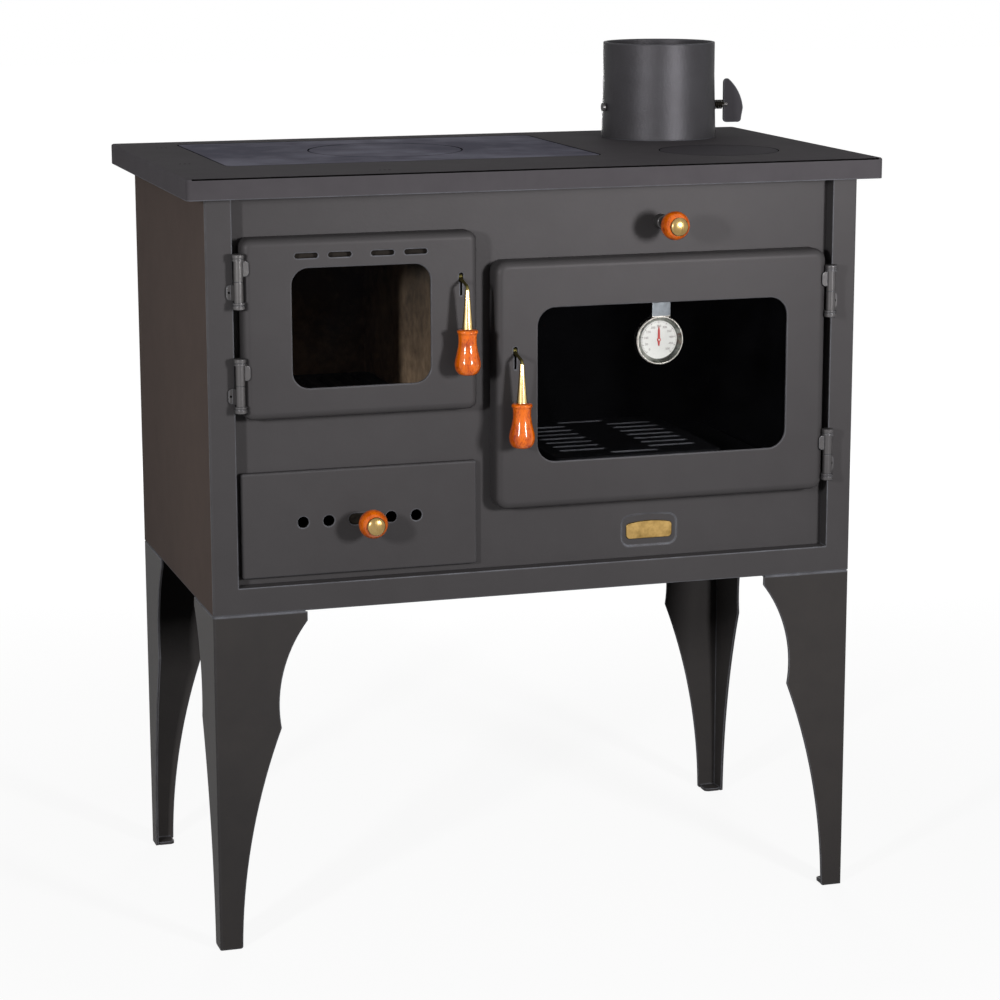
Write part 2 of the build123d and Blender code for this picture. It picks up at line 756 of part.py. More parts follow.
with BuildPart() as flue_collar:
    collar_top = hob_z + flue_height
    with BuildSketch(Plane(origin=(flue_x, flue_y, 0), x_dir=(1, 0, 0), z_dir=(0, -1, 0))):
        with BuildLine():
            Polyline((flue_spigot_radius - flue_wall, hob_z - flue_spigot_depth),
                     (flue_spigot_radius, hob_z - flue_spigot_depth),
                     (flue_spigot_radius, hob_z),
                     (flue_base_radius, hob_z),
                     (flue_top_radius, collar_top - flue_top_straight),
                     (flue_top_radius, collar_top),
                     (flue_top_radius - flue_wall, collar_top),
                     (flue_top_radius - flue_wall, collar_top - flue_top_straight),
                     (flue_base_radius - flue_wall, hob_z + 6),
                     (flue_spigot_radius - flue_wall, hob_z - 2), close=True)
        make_face()
    revolve(axis=Axis((flue_x, flue_y, 0), (0, 0, 1)))
    with BuildSketch(sideways(flue_x - 2 * flue_base_radius, flue_y, damper_z)):
        Circle(damper_hole_radius)
    extrude(amount=4 * flue_base_radius, mode=Mode.SUBTRACT)
save(flue_collar.part, "flue_collar")

handle_x = collar_right_x + spring_length + handle_gap
with BuildPart() as damper_shaft:
    shaft_left = collar_left_x - damper_stub
    shaft_right = handle_x + damper_tang
    with BuildSketch(sideways(shaft_left, flue_y, damper_z)):
        Circle(damper_shaft_radius)
    extrude(amount=shaft_right - shaft_left)
    fillet(damper_shaft.faces().sort_by(Axis.X)[-1].edges(), damper_tang_round)
    with BuildSketch(sideways(shaft_left, flue_y, damper_z)):
        Circle(damper_shaft_radius + damper_head)
    extrude(amount=damper_stub - 0.3)
    # the middle of the shaft is split to take the disc, and its end to take the handle
    with BuildSketch(facing(flue_x, flue_y + damper_disc_thickness / 2, damper_z)):
        Rectangle(2 * damper_disc_radius + split_gap, 4 * damper_shaft_radius)
    extrude(amount=damper_disc_thickness, mode=Mode.SUBTRACT)
    with BuildSketch(facing(shaft_right, flue_y + damper_handle_thickness / 2, damper_z)):
        Rectangle(2 * (shaft_right - handle_x), 4 * damper_shaft_radius)
    extrude(amount=damper_handle_thickness, mode=Mode.SUBTRACT)
save(damper_shaft.part, "damper_shaft")

with BuildPart() as damper_disc:
    with BuildSketch(facing(flue_x, flue_y + damper_disc_thickness / 2, damper_z)):
        Circle(damper_disc_radius)
    extrude(amount=damper_disc_thickness)
save(damper_disc.part, "damper_disc")

# Flat handle: straight towards the collar, bowed outwards, narrow at the top and wide at the foot.
with BuildPart() as damper_handle:
    with BuildSketch(facing(handle_x, flue_y + damper_handle_thickness / 2, damper_z)):
        with BuildLine():
            Line((0, -damper_handle_down + 4), (0, damper_handle_up - 4.5))
            ThreePointArc((0, damper_handle_up - 4.5), (1.6, damper_handle_up - 0.8),
                          (5, damper_handle_up))
            ThreePointArc((5, damper_handle_up), (15.2, 15.5), (damper_handle_width, -4))
            Line((damper_handle_width, -4), (damper_handle_width - 2, -damper_handle_down + 4))
            ThreePointArc((damper_handle_width - 2, -damper_handle_down + 4),
                          (damper_handle_width - 3.2, -damper_handle_down + 1),
                          (damper_handle_width - 6, -damper_handle_down))
            Line((damper_handle_width - 6, -damper_handle_down), (4, -damper_handle_down))
            ThreePointArc((4, -damper_handle_down), (1.2, -damper_handle_down + 1.2),
                          (0, -damper_handle_down + 4))
        make_face()
    extrude(amount=damper_handle_thickness)
save(damper_handle.part, "damper_handle")


def spring_point(turn):
    """Point on the spring's centre line, and its direction, after a number of turns."""
    angle = 2 * math.pi * turn
    pitch = (spring_length - 2 * spring_wire) / spring_turns
    start = collar_right_x + spring_wire + 0.3
    point = Vector(start + pitch * turn, flue_y + spring_radius * math.cos(angle),
                   damper_z + spring_radius * math.sin(angle))
    heading = Vector(pitch / (2 * math.pi), -spring_radius * math.sin(angle),
                     spring_radius * math.cos(angle)).normalized()
    return point, heading


def biarc(turn_a, turn_b):
    """Two arcs that leave and arrive along the helix and meet smoothly half way.

    Each end has a control point a distance d along its heading, with d such that the two control
    points are 2 d apart. The arcs meet half way between them.
    """
    start, start_heading = spring_point(turn_a)
    end, end_heading = spring_point(turn_b)
    chord = end - start
    both = start_heading + end_heading
    a = both.dot(both) - 4
    b = -2 * chord.dot(both)
    c = chord.dot(chord)
    reach = (-b - math.sqrt(b * b - 4 * a * c)) / (2 * a)
    apex_a = start + start_heading * reach
    apex_b = end - end_heading * reach
    middle = (apex_a + apex_b) * 0.5
    arcs = []
    for first, apex, last in ((start, apex_a, middle), (middle, apex_b, end)):
        foot = (first + last) * 0.5
        half_chord = (last - first).length / 2
        rise = (apex - foot).length
        half_angle = math.atan2(rise, half_chord)
        sagitta = half_chord * math.tan(half_angle / 2)
        arcs.append((first, foot + (apex - foot) * (sagitta / rise), last))
    return arcs


with BuildPart() as damper_spring:
    with BuildLine() as spring_line:
        for half_turn in range(int(2 * spring_turns)):
            for arc_points in biarc(half_turn / 2, (half_turn + 1) / 2):
                ThreePointArc(*arc_points)
    spring_start, spring_heading = spring_point(0)
    with BuildSketch(Plane(origin=spring_start, z_dir=spring_heading)):
        Circle(spring_wire)
    sweep(path=spring_line.line)
save(damper_spring.part, "damper_spring")


def spring_gap():
    """Least gap between the spring's curls, from points sampled along its centre line.

    Only points more than half a turn apart along the line are compared.
    """
    per_turn = 48
    count = int(spring_turns * per_turn)
    points = [spring_line.line @ (step / count) for step in range(count + 1)]
    far = per_turn // 2 + 1
    gaps = [(points[first] - points[last]).length
            for first in range(count + 1) for last in range(first + far, count + 1)]
    return min(gaps) - 2 * spring_wire


print("least gap between the spring's curls:", round(spring_gap(), 2), "mm")


# ================================================================== doors
def make_door_shell(x, z, width, height, corner, window, lever_x, pivot_z, vents):
    """Pressed door: a hollow sheet box with rolled front edges, a window and a keyhole slot."""
    window_width, window_height, window_corner = window
    with BuildPart() as shell:
        with BuildSketch(facing(x, door_back, z)):
            RectangleRounded(width, height, corner)
        extrude(amount=door_depth)
        fillet(shell.faces().sort_by(Axis.Y)[0].edges(), door_roll)
        offset(amount=-door_sheet, openings=shell.faces().sort_by(Axis.Y)[-1])
        with BuildSketch(facing(x, skin_back + 1, z)):
            RectangleRounded(window_width, window_height, window_corner)
        extrude(amount=3 * door_sheet, mode=Mode.SUBTRACT)
        with BuildSketch(facing(lever_x, skin_back + 1, pivot_z)):
            keyhole_mid = (keyhole_top - keyhole_bottom) / 2
            with Locations((0, keyhole_mid)):
                SlotOverall(keyhole_top + keyhole_bottom, keyhole_width, rotation=90)
            with Locations((0, -slit_drop / 2)):
                Rectangle(slit_width, slit_drop)
            if vents:
                for vent_side in (-1, 1):
                    for vent_step in (0, 1):
                        vent_x = x + vent_side * (vent_middle_half + vent_step * vent_pitch)
                        with Locations((vent_x - lever_x, z + vent_rise - pivot_z)):
                            SlotOverall(vent_length, vent_height)
        extrude(amount=3 * door_sheet, mode=Mode.SUBTRACT)
        window_edges = shell.faces().sort_by(Axis.Y)[0].inner_wires().sort_by(
            SortBy.LENGTH)[-1].edges()
        fillet(window_edges, window_round)
    return shell.part


def make_door_glass(x, z, window):
    """Flat pane behind the window."""
    window_width, window_height, window_corner = window
    with BuildPart() as glass:
        with BuildSketch(facing(x, glass_back, z)):
            RectangleRounded(window_width + 2 * glass_lap, window_height + 2 * glass_lap,
                             window_corner + glass_lap)
        extrude(amount=glass_thickness)
    return glass.part


def make_retainer(x, z, width, height, corner, window, lever_x, pivot_z):
    """Flat ring that clamps the pane, with a raised band round its edge that carries the gasket."""
    window_width, window_height, window_corner = window
    outer_width = width - 2 * (door_sheet + retainer_fit)
    outer_height = height - 2 * (door_sheet + retainer_fit)
    outer_corner = corner - door_sheet - retainer_fit
    with BuildPart() as retainer:
        with BuildSketch(facing(x, retainer_back, z)):
            RectangleRounded(outer_width, outer_height, outer_corner)
            RectangleRounded(window_width + 2 * retainer_setback, window_height + 2 * retainer_setback,
                             window_corner + retainer_setback,
                             mode=Mode.SUBTRACT)
            with Locations((lever_x - x, pivot_z - z - slit_drop / 4)):
                Rectangle(lever_thickness + 2 * lever_clear, slit_drop + 3 * lever_clear,
                          mode=Mode.SUBTRACT)
        extrude(amount=retainer_thickness)
        with BuildSketch(facing(x, band_back, z)):
            RectangleRounded(outer_width, outer_height, outer_corner)
            RectangleRounded(outer_width - 2 * retainer_band_width,
                             outer_height - 2 * retainer_band_width, band_corner,
                             mode=Mode.SUBTRACT)
        extrude(amount=retainer_band_depth)
    return retainer.part


def make_gasket(x, z, width, height, corner):
    """Rope seal round the back of a door, standing on the retainer's band."""
    inset = door_sheet + retainer_fit + (retainer_band_width - gasket_width) / 2
    with BuildPart() as gasket:
        with BuildSketch(facing(x, panel_y - gasket_gap, z)):
            RectangleRounded(width - 2 * inset, height - 2 * inset, corner - inset + 1)
            RectangleRounded(width - 2 * inset - 2 * gasket_width,
                             height - 2 * inset - 2 * gasket_width, gasket_corner,
                             mode=Mode.SUBTRACT)
        extrude(amount=panel_y - gasket_gap - band_back)
        fillet(gasket.faces().sort_by(Axis.Y)[-1].edges(), gasket_round)
    return gasket.part


def make_door_knuckles(axis_x, door_z, rises, side):
    """Upper half of each hinge barrel with its leaf welded on the door's face."""
    with BuildPart() as knuckles:
        for rise in rises:
            low = door_z + rise + knuckle_gap
            with BuildSketch(Plane(origin=(axis_x, hinge_y, low))):
                Circle(knuckle_radius)
            extrude(amount=knuckle_length - knuckle_gap)
            leaf_low = low + (knuckle_length - leaf_height) / 2 + door_leaf_rise
            with BuildSketch(Plane(origin=(axis_x, door_front, leaf_low))):
                with Locations((-side * door_leaf_reach / 2, -leaf_thickness / 2)):
                    Rectangle(door_leaf_reach, leaf_thickness)
            extrude(amount=leaf_height)
            with BuildSketch(Plane(origin=(axis_x, hinge_y, low))):
                Circle(hinge_pin_radius + running_gap)
            extrude(amount=knuckle_length, mode=Mode.SUBTRACT)
        tips = knuckles.edges().filter_by(Axis.Y).group_by(Axis.X)[0 if side > 0 else -1]
        fillet(tips, leaf_corner)
    return knuckles.part


def make_latch_bracket(lever_x, pivot_z):
    """Two ears behind the door skin, joined above the lever, and the pivot pin riveted in them."""
    inner = rod_radius + ear_side_gap
    with BuildPart() as bracket:
        with BuildSketch(facing(lever_x, skin_back + ear_depth, pivot_z)):
            with Locations((0, ear_thickness / 2)):
                Rectangle(2 * (inner + ear_thickness), 2 * ear_half_height + ear_thickness)
            Rectangle(2 * inner, 2 * ear_half_height, mode=Mode.SUBTRACT)
        extrude(amount=ear_depth)
        with BuildSketch(sideways(lever_x - inner - ear_thickness, pivot_y, pivot_z)):
            Circle(latch_pin_radius)
        extrude(amount=2 * (inner + ear_thickness))
    return bracket.part


def make_latch_lever(lever_x, pivot_z):
    """Lever: a flat arm with an upturned nose behind its hub, and a bent rod in front of it."""
    arm_half = lever_arm_height / 2
    tip_y = lever_reach_back
    with BuildPart() as lever:
        with BuildSketch(sideways(lever_x - lever_thickness / 2, pivot_y, pivot_z)):
            Circle(lever_hub_radius)
            with BuildLine():
                Polyline((0, -arm_half), (tip_y - 2, -arm_half), (tip_y, -arm_half + 2),
                         (tip_y, nose_rise - 2.5), (tip_y - nose_length / 2, nose_rise),
                         (tip_y - nose_length, nose_rise), (tip_y - nose_length, arm_half),
                         (0, arm_half), close=True)
            make_face()
        extrude(amount=lever_thickness)
        bend_z = pivot_z - rod_drop
        tail_z = bend_z - ferrule_cover - rod_tail
        with BuildLine() as rod_path:
            FilletPolyline((lever_x, pivot_y, pivot_z), (lever_x, grip_y, bend_z),
                           (lever_x, grip_y, tail_z), radius=rod_bend)
        with BuildSketch(Plane(origin=rod_path.line @ 0, z_dir=rod_path.line % 0)):
            Circle(rod_radius)
        sweep(path=rod_path.line)
        with BuildSketch(sideways(lever_x - 10, pivot_y, pivot_z)):
            Circle(latch_pin_radius + running_gap)
        extrude(amount=20, mode=Mode.SUBTRACT)
    return lever.part


def make_ferrule(lever_x, pivot_z):
    """Turned cone over the end of the rod."""
    top = pivot_z - rod_drop - ferrule_cover
    bottom = top - ferrule_length
    bore = rod_radius + 0.03
    with BuildPart() as ferrule:
        with BuildSketch(facing(lever_x, grip_y, 0)):
            with BuildLine():
                Polyline((bore, top), (ferrule_top_radius, top),
                         (ferrule_base_radius - 0.3, bottom + 2.2), (ferrule_base_radius, bottom + 1.6),
                         (ferrule_base_radius, bottom), (0, bottom), (0, top - rod_tail - 1),
                         (bore, top - rod_tail - 1), close=True)
            make_face()
        revolve(axis=Axis((lever_x, grip_y, 0), (0, 0, 1)))
    return ferrule.part


def make_grip(lever_x, pivot_z):
    """Turned wooden grip: a thin flange, a drawn-in neck and a full belly with a rounded end."""
    top = pivot_z - rod_drop - ferrule_cover - ferrule_length
    foot = top - grip_length
    with BuildPart() as grip:
        with BuildSketch(facing(lever_x, grip_y, 0)):
            with BuildLine():
                bead = grip_flange_height / 2
                under_bead = top - grip_flange_height
                below = grip_length - grip_flange_height
                end_radius = 0.4 * grip_belly_radius
                Line((0, top), (grip_flange_radius - bead, top))
                ThreePointArc((grip_flange_radius - bead, top), (grip_flange_radius, top - bead),
                              (grip_flange_radius - 0.8 * bead, under_bead))
                Spline([(grip_flange_radius - 0.8 * bead, under_bead),
                        (grip_neck_radius, under_bead - 0.14 * below),
                        (0.88 * grip_belly_radius, under_bead - 0.5 * below),
                        (grip_belly_radius, under_bead - 0.71 * below),
                        (0.82 * grip_belly_radius, foot + 0.1 * below)],
                       tangents=((-0.35, -1), (-0.75, -1)))
                ThreePointArc((0.82 * grip_belly_radius, foot + 0.1 * below),
                              (0.6 * grip_belly_radius, foot + 0.022 * below), (end_radius, foot))
                Line((end_radius, foot), (0, foot))
                Line((0, foot), (0, top))
            make_face()
        revolve(axis=Axis((lever_x, grip_y, 0), (0, 0, 1)))
    return grip.part


def make_door(name, x, z, width, height, corner, window, lever_x, pivot_z, side, rises, vents):
    """Every piece of one door. The hinge is on the given side, -1 left or 1 right."""
    axis_x = x + side * (width / 2 + hinge_out)
    save(make_door_shell(x, z, width, height, corner, window, lever_x, pivot_z, vents),
         f"{name}_door_shell")
    save(make_door_glass(x, z, window), f"{name}_door_glass")
    save(make_retainer(x, z, width, height, corner, window, lever_x, pivot_z),
         f"{name}_glass_retainer")
    save(make_gasket(x, z, width, height, corner), f"{name}_door_gasket")
    save(make_door_knuckles(axis_x, z, rises, side), f"{name}_door_knuckles")
    save(make_latch_bracket(lever_x, pivot_z), f"{name}_latch_bracket")
    save(make_latch_lever(lever_x, pivot_z), f"{name}_latch_lever")
    save(make_ferrule(lever_x, pivot_z), f"{name}_latch_ferrule")
    save(make_grip(lever_x, pivot_z), f"{name}_latch_grip")


make_door("fire", fire_x, fire_door_z, fire_door_width, fire_door_height, fire_door_corner,
          (fire_window_width, fire_window_height, fire_window_corner),
          fire_lever_x, fire_pivot_z, -1, fire_hinge_rises, True)
make_door("oven", oven_x, oven_door_z, oven_door_width, oven_door_height, oven_door_corner,
          (oven_window_width, oven_window_height, oven_window_corner),
          oven_lever_x, oven_pivot_z, 1, oven_hinge_rises, False)

fire_axis_x = fire_x - fire_door_width / 2 - hinge_out
oven_axis_x = oven_x + oven_door_width / 2 + hinge_out
hinges = [(fire_axis_x, fire_door_z + rise, -1) for rise in fire_hinge_rises]
hinges += [(oven_axis_x, oven_door_z + rise, 1) for rise in oven_hinge_rises]

# Lower half of each hinge barrel, with its leaf welded on the stile.
with BuildPart() as frame_knuckles:
    drop = front_y - hinge_y
    for axis_x, middle_z, side in hinges:
        low = middle_z - knuckle_length
        with BuildSketch(Plane(origin=(axis_x, hinge_y, low))):
            Circle(knuckle_radius)
        extrude(amount=knuckle_length - knuckle_gap)
        leaf_low = low + (knuckle_length - leaf_height) / 2 - frame_leaf_fall
        with BuildSketch(Plane(origin=(axis_x, hinge_y, leaf_low))):
            with BuildLine():
                Polyline((side * frame_leaf_reach, drop),
                         (side * frame_leaf_reach, drop - leaf_thickness),
                         (side * (knuckle_radius + 1.5), drop - leaf_thickness),
                         (side * 3.8, 0), (0, 0), (0, 4), (side * 4.2, drop), close=True)
            make_face()
        extrude(amount=leaf_height)
        with BuildSketch(Plane(origin=(axis_x, hinge_y, low))):
            Circle(hinge_pin_radius)
        extrude(amount=knuckle_length, mode=Mode.SUBTRACT)
    leaf_tips = frame_knuckles.edges().filter_by(Axis.Y)
    fillet(leaf_tips.group_by(Axis.X)[0] + leaf_tips.group_by(Axis.X)[-1], leaf_corner)
save(frame_knuckles.part, "frame_knuckles")


def hinge_pin_outline():
    """Half section of a pin: out from its axis in X, along it in Y. Each end has a grooved cap."""
    reach = knuckle_length + knuckle_gap
    groove_radius = cap_radius - cap_groove
    cap = [(0, cap_height), (cap_radius - 0.8, cap_height), (cap_radius, cap_height - 0.8),
           (cap_radius, 2.9), (groove_radius, 2.5), (groove_radius, 1.7), (cap_radius, 1.3),
           (cap_radius, 0)]
    upper = [(radius, knuckle_length + height) for radius, height in cap]
    lower = [(radius, -reach - height) for radius, height in cap]
    lower[-1] = (cap_radius, -knuckle_length)
    return upper + [(hinge_pin_radius, knuckle_length), (hinge_pin_radius, -knuckle_length)] + lower[::-1]


# Pins through the barrels.
with BuildPart() as hinge_pins:
    for axis_x, middle_z, side in hinges:
        with BuildSketch(facing(axis_x, hinge_y, middle_z)):
            with BuildLine():
                Polyline(*hinge_pin_outline(), close=True)
            make_face()
        revolve(axis=Axis((axis_x, hinge_y, middle_z), (0, 0, 1)))
save(hinge_pins.part, "hinge_pins")

# Bars welded to the side walls of the firebox and of the oven, just above the levers' noses.
with BuildPart() as latch_catches:
    for lever_x, pivot_z, wall_x in ((fire_lever_x, fire_pivot_z, fire_x + firebox_half),
                                     (oven_lever_x, oven_pivot_z, oven_x - oven_half)):
        catch_end = lever_x - math.copysign(catch_overlap, wall_x - lever_x)
        with BuildSketch(Plane.XY.offset(pivot_z + nose_rise + catch_gap)):
            with Locations(((wall_x + catch_end) / 2, panel_back + catch_setback + catch_depth / 2)):
                Rectangle(abs(wall_x - catch_end), catch_depth)
        extrude(amount=catch_height)
save(latch_catches.part, "latch_catches")


# ================================================================== thermometer behind the oven glass
thermo_z = oven_door_z + oven_window_height / 2 - thermo_drop
case_front = retainer_back + thermo_front
case_back = case_front + thermo_depth
dial_front = case_front + dial_setback

with BuildPart() as thermometer_case:
    dial_pocket = dial_radius + dial_gap
    coil_pocket = dial_radius - dial_seat
    dial_floor = dial_setback + dial_thickness
    with BuildSketch(sideways(oven_x, case_front, thermo_z)):
        with BuildLine():
            Polyline((0, thermo_radius - thermo_lip), (dial_setback, dial_pocket),
                     (dial_floor, dial_pocket), (dial_floor, coil_pocket),
                     (thermo_depth - thermo_wall, coil_pocket), (thermo_depth - thermo_wall, 0),
                     (thermo_depth, 0), (thermo_depth, thermo_radius - thermo_round),
                     (thermo_depth - thermo_round, thermo_radius), (thermo_round, thermo_radius),
                     (0, thermo_radius - thermo_round), close=True)
        make_face()
    revolve(axis=Axis((oven_x, 0, thermo_z), (0, 1, 0)))
    # strap that hangs the case from the glass retainer
    strap_top = oven_door_z + oven_window_height / 2 + strap_rise
    strap_low = thermo_z + thermo_radius - strap_weld
    strap_end = case_front + strap_foot
    with BuildSketch(sideways(oven_x - strap_width / 2, 0, 0)):
        with BuildLine():
            Polyline((retainer_back, strap_top), (retainer_back, strap_low), (strap_end, strap_low),
                     (strap_end, strap_low + strap_thickness),
                     (retainer_back + strap_thickness, strap_low + strap_thickness),
                     (retainer_back + strap_thickness, strap_top), close=True)
        make_face()
    extrude(amount=strap_width)
    with BuildSketch(facing(oven_x, dial_front, thermo_z)):
        Circle(dial_pocket)
    extrude(amount=dial_setback + strap_thickness, mode=Mode.SUBTRACT)
save(thermometer_case.part, "thermometer_case")

with BuildPart() as thermometer_dial:
    with BuildSketch(facing(oven_x, dial_front + dial_thickness, thermo_z)):
        Circle(dial_radius)
    extrude(amount=dial_thickness)
    with BuildSketch(facing(oven_x, dial_front, thermo_z)):
        Circle(needle_post_radius)
    extrude(amount=2 * needle_thickness + needle_gap)
save(thermometer_dial.part, "thermometer_dial")

with BuildPart() as thermometer_needle:
    with BuildSketch(facing(oven_x, dial_front - needle_gap, thermo_z)):
        Circle(needle_hub_radius)
        with BuildLine():
            Polyline((-1.1, 0), (-0.9, needle_length - needle_point), (0, needle_length),
                     (0.9, needle_length - needle_point), (1.1, 0), (0.6, -needle_tail),
                     (-0.6, -needle_tail), close=True)
        make_face()
        Circle(needle_post_radius + running_gap, mode=Mode.SUBTRACT)
    extrude(amount=needle_thickness)
save(thermometer_needle.part, "thermometer_needle")


# ================================================================== knobs
def make_ball(x, y, z):
    """Turned wooden ball with a flat front for its cap and a flat back."""
    with BuildPart() as ball:
        with BuildSketch(facing(x, y, z)):
            with BuildLine():
                back = math.sqrt(ball_radius ** 2 - ball_back_cut ** 2)
                front = math.sqrt(ball_radius ** 2 - ball_front_cut ** 2)
                Line((-ball_back_cut, 0), (-ball_back_cut, back))
                ThreePointArc((-ball_back_cut, back), (0, ball_radius), (ball_front_cut, front))
                Line((ball_front_cut, front), (ball_front_cut, 0))
                Line((ball_front_cut, 0), (-ball_back_cut, 0))
            make_face()
        revolve(axis=Axis((x, y, z), (1, 0, 0)))
    turned = ball.part.rotate(Axis((x, y, z), (0, 0, 1)), -90)
    return turned


def make_knob_cap(x, y, z):
    """Turned cap on the front of a ball: a smooth dome over a thin straight edge."""
    face = y - ball_front_cut
    dome_height = knob_cap_height - knob_cap_edge
    dome_radius = (knob_cap_radius ** 2 + dome_height ** 2) / (2 * dome_height)
    half_way = math.asin(knob_cap_radius / dome_radius) / 2
    shoulder = (knob_cap_height - dome_radius * (1 - math.cos(half_way)),
                dome_radius * math.sin(half_way))
    with BuildPart() as cap:
        with BuildSketch(Plane(origin=(x, face, z), x_dir=(0, -1, 0), z_dir=(-1, 0, 0))):
            with BuildLine():
                Polyline((knob_cap_height, 0), (0, 0), (0, knob_cap_radius),
                         (knob_cap_edge, knob_cap_radius))
                ThreePointArc((knob_cap_edge, knob_cap_radius), shoulder, (knob_cap_height, 0))
            make_face()
        revolve(axis=Axis((x, y, z), (0, 1, 0)))
    return cap.part


knob_front = ball_front_cut + knob_cap_height
bypass_ball_y = front_y - bypass_cap_reach + knob_front
air_ball_y = drawer_front_y - air_ball_reach

save(make_ball(bypass_x, bypass_ball_y, bypass_z), "bypass_knob_ball")
save(make_knob_cap(bypass_x, bypass_ball_y, bypass_z), "bypass_knob_cap")

# ================================================================== bypass damper
with BuildPart() as bypass_bush:
    with BuildSketch(facing(bypass_x, panel_back, bypass_z)):
        Circle(bypass_bush_radius - bush_shoulder)
        Circle(bypass_rod_radius + running_gap, mode=Mode.SUBTRACT)
    extrude(amount=sheet)
    with BuildSketch(facing(bypass_x, panel_y, bypass_z)):
        Circle(bypass_bush_radius)
        Circle(bypass_rod_radius + running_gap, mode=Mode.SUBTRACT)
    extrude(amount=bypass_bush_length)
    fillet(bypass_bush.edges().filter_by(GeomType.CIRCLE).group_by(Axis.Y)[0].sort_by(
        SortBy.RADIUS)[-1], 1.2)
save(bypass_bush.part, "bypass_bush")

shutter_far = shutter_mid_y + shutter_length / 2
baffle_x = bypass_x - bypass_rod_radius - shutter_thickness - baffle_gap
with BuildPart() as bypass_damper:
    rod_start = bypass_ball_y + ball_back_cut
    with BuildSketch(facing(bypass_x, shutter_far, bypass_z)):
        Circle(bypass_rod_radius)
    extrude(amount=shutter_far - rod_start)
    with BuildSketch(sideways(bypass_x - bypass_rod_radius - shutter_thickness, shutter_mid_y,
                              bypass_z)):
        RectangleRounded(shutter_length, shutter_height, shutter_corner)
    extrude(amount=shutter_thickness + shutter_weld)
save(bypass_damper.part, "bypass_damper")

# Upright baffle across the space over the oven, with the port that the shutter covers and a lug
# that carries the rod.
with BuildPart() as smoke_baffle:
    baffle_low = oven_ceiling + oven_wall
    baffle_high = hob_under
    with BuildSketch(sideways(baffle_x - sheet, 0, 0)):
        with Locations(((panel_back + back_y - sheet) / 2, (baffle_low + baffle_high) / 2)):
            Rectangle(back_y - sheet - panel_back, baffle_high - baffle_low)
        with Locations((shutter_mid_y, bypass_z)):
            Rectangle(port_length, port_height, mode=Mode.SUBTRACT)
        with Locations((plate_y, hob_under)):
            Rectangle(plate_depth + 2 * ledge_width + 4,
                      2 * (plate_thickness - hob_thickness + ledge_thickness) + 2,
                      mode=Mode.SUBTRACT)
    extrude(amount=sheet)
    with BuildSketch(facing(baffle_x, panel_back + lug_setback, bypass_z)):
        with Locations((lug_reach / 2, 0)):
            Rectangle(lug_reach, lug_height)
        with Locations((bypass_x - baffle_x, 0)):
            Circle(bypass_rod_radius + running_gap, mode=Mode.SUBTRACT)
    extrude(amount=lug_thickness)
save(smoke_baffle.part, "smoke_baffle")

# ================================================================== ash drawer
drawer_skin_back = drawer_front_y + sheet
liner_front = drawer_skin_back + slider_thickness + 2 * slider_side_gap
liner_back = panel_y - drawer_rear_gap
air_z = drawer_z + air_hole_rise


def air_hole_places():
    """Where the four air holes are, from the drawer's middle."""
    return [side * (air_hole_first + step * air_hole_pitch) for side in (-1, 1) for step in (0, 1)]


with BuildPart() as drawer_front:
    with BuildSketch(facing(fire_x, liner_back, drawer_z)):
        RectangleRounded(drawer_width, drawer_height, 2)
    extrude(amount=drawer_depth)
    fillet(drawer_front.faces().sort_by(Axis.Y)[0].edges(), drawer_edge)
    offset(amount=-sheet * 0.75, openings=drawer_front.faces().sort_by(Axis.Y)[-1])
    with BuildSketch(facing(fire_x, liner_back, air_z)):
        for hole_x in air_hole_places():
            with Locations((hole_x, 0)):
                Circle(air_hole_radius)
        SlotOverall(air_travel + 2 * air_hole_radius, 2 * air_hole_radius)
    extrude(amount=2 * drawer_depth, mode=Mode.SUBTRACT)
save(drawer_front.part, "drawer_front")

drawer_skin_inner = drawer_front_y + sheet * 0.75
with BuildPart() as drawer_liner:
    liner_width = drawer_width - 2 * sheet
    liner_height = drawer_height - 2 * sheet
    with BuildSketch(facing(fire_x, liner_back, drawer_z)):
        Rectangle(liner_width, liner_height)
        with Locations((0, air_z - drawer_z)):
            Rectangle(slider_length - 2 * (air_travel + liner_window_border),
                      slider_height - 2 * liner_window_border, mode=Mode.SUBTRACT)
    extrude(amount=liner_back - liner_front)
    with BuildSketch(facing(fire_x, liner_front, air_z)):
        for guide_side in (-1, 1):
            with Locations((0, guide_side * ((slider_height + slider_guide_height) / 2 + slider_side_gap))):
                Rectangle(slider_length + 2 * slider_guide_spare, slider_guide_height)
    extrude(amount=liner_front - drawer_skin_inner)
save(drawer_liner.part, "drawer_liner")

# At rest the slider stands at the right end of its travel, where its holes meet the front's.
air_stem_x = fire_x + air_travel / 2
with BuildPart() as air_slider_plate:
    slider_front = liner_front - slider_side_gap - slider_thickness
    with BuildSketch(facing(fire_x, slider_front + slider_thickness, air_z)):
        with Locations((0, 0)):
            Rectangle(slider_length, slider_height)
        for hole_x in air_hole_places():
            with Locations((hole_x, 0)):
                Circle(air_hole_radius, mode=Mode.SUBTRACT)
    extrude(amount=slider_thickness)
    with BuildSketch(facing(air_stem_x, slider_front, air_z)):
        Circle(air_stem_radius)
    extrude(amount=slider_front - (air_ball_y + ball_back_cut))
save(air_slider_plate.part, "air_slider_plate")
save(make_ball(air_stem_x, air_ball_y, air_z), "air_knob_ball")
save(make_knob_cap(air_stem_x, air_ball_y, air_z), "air_knob_cap")

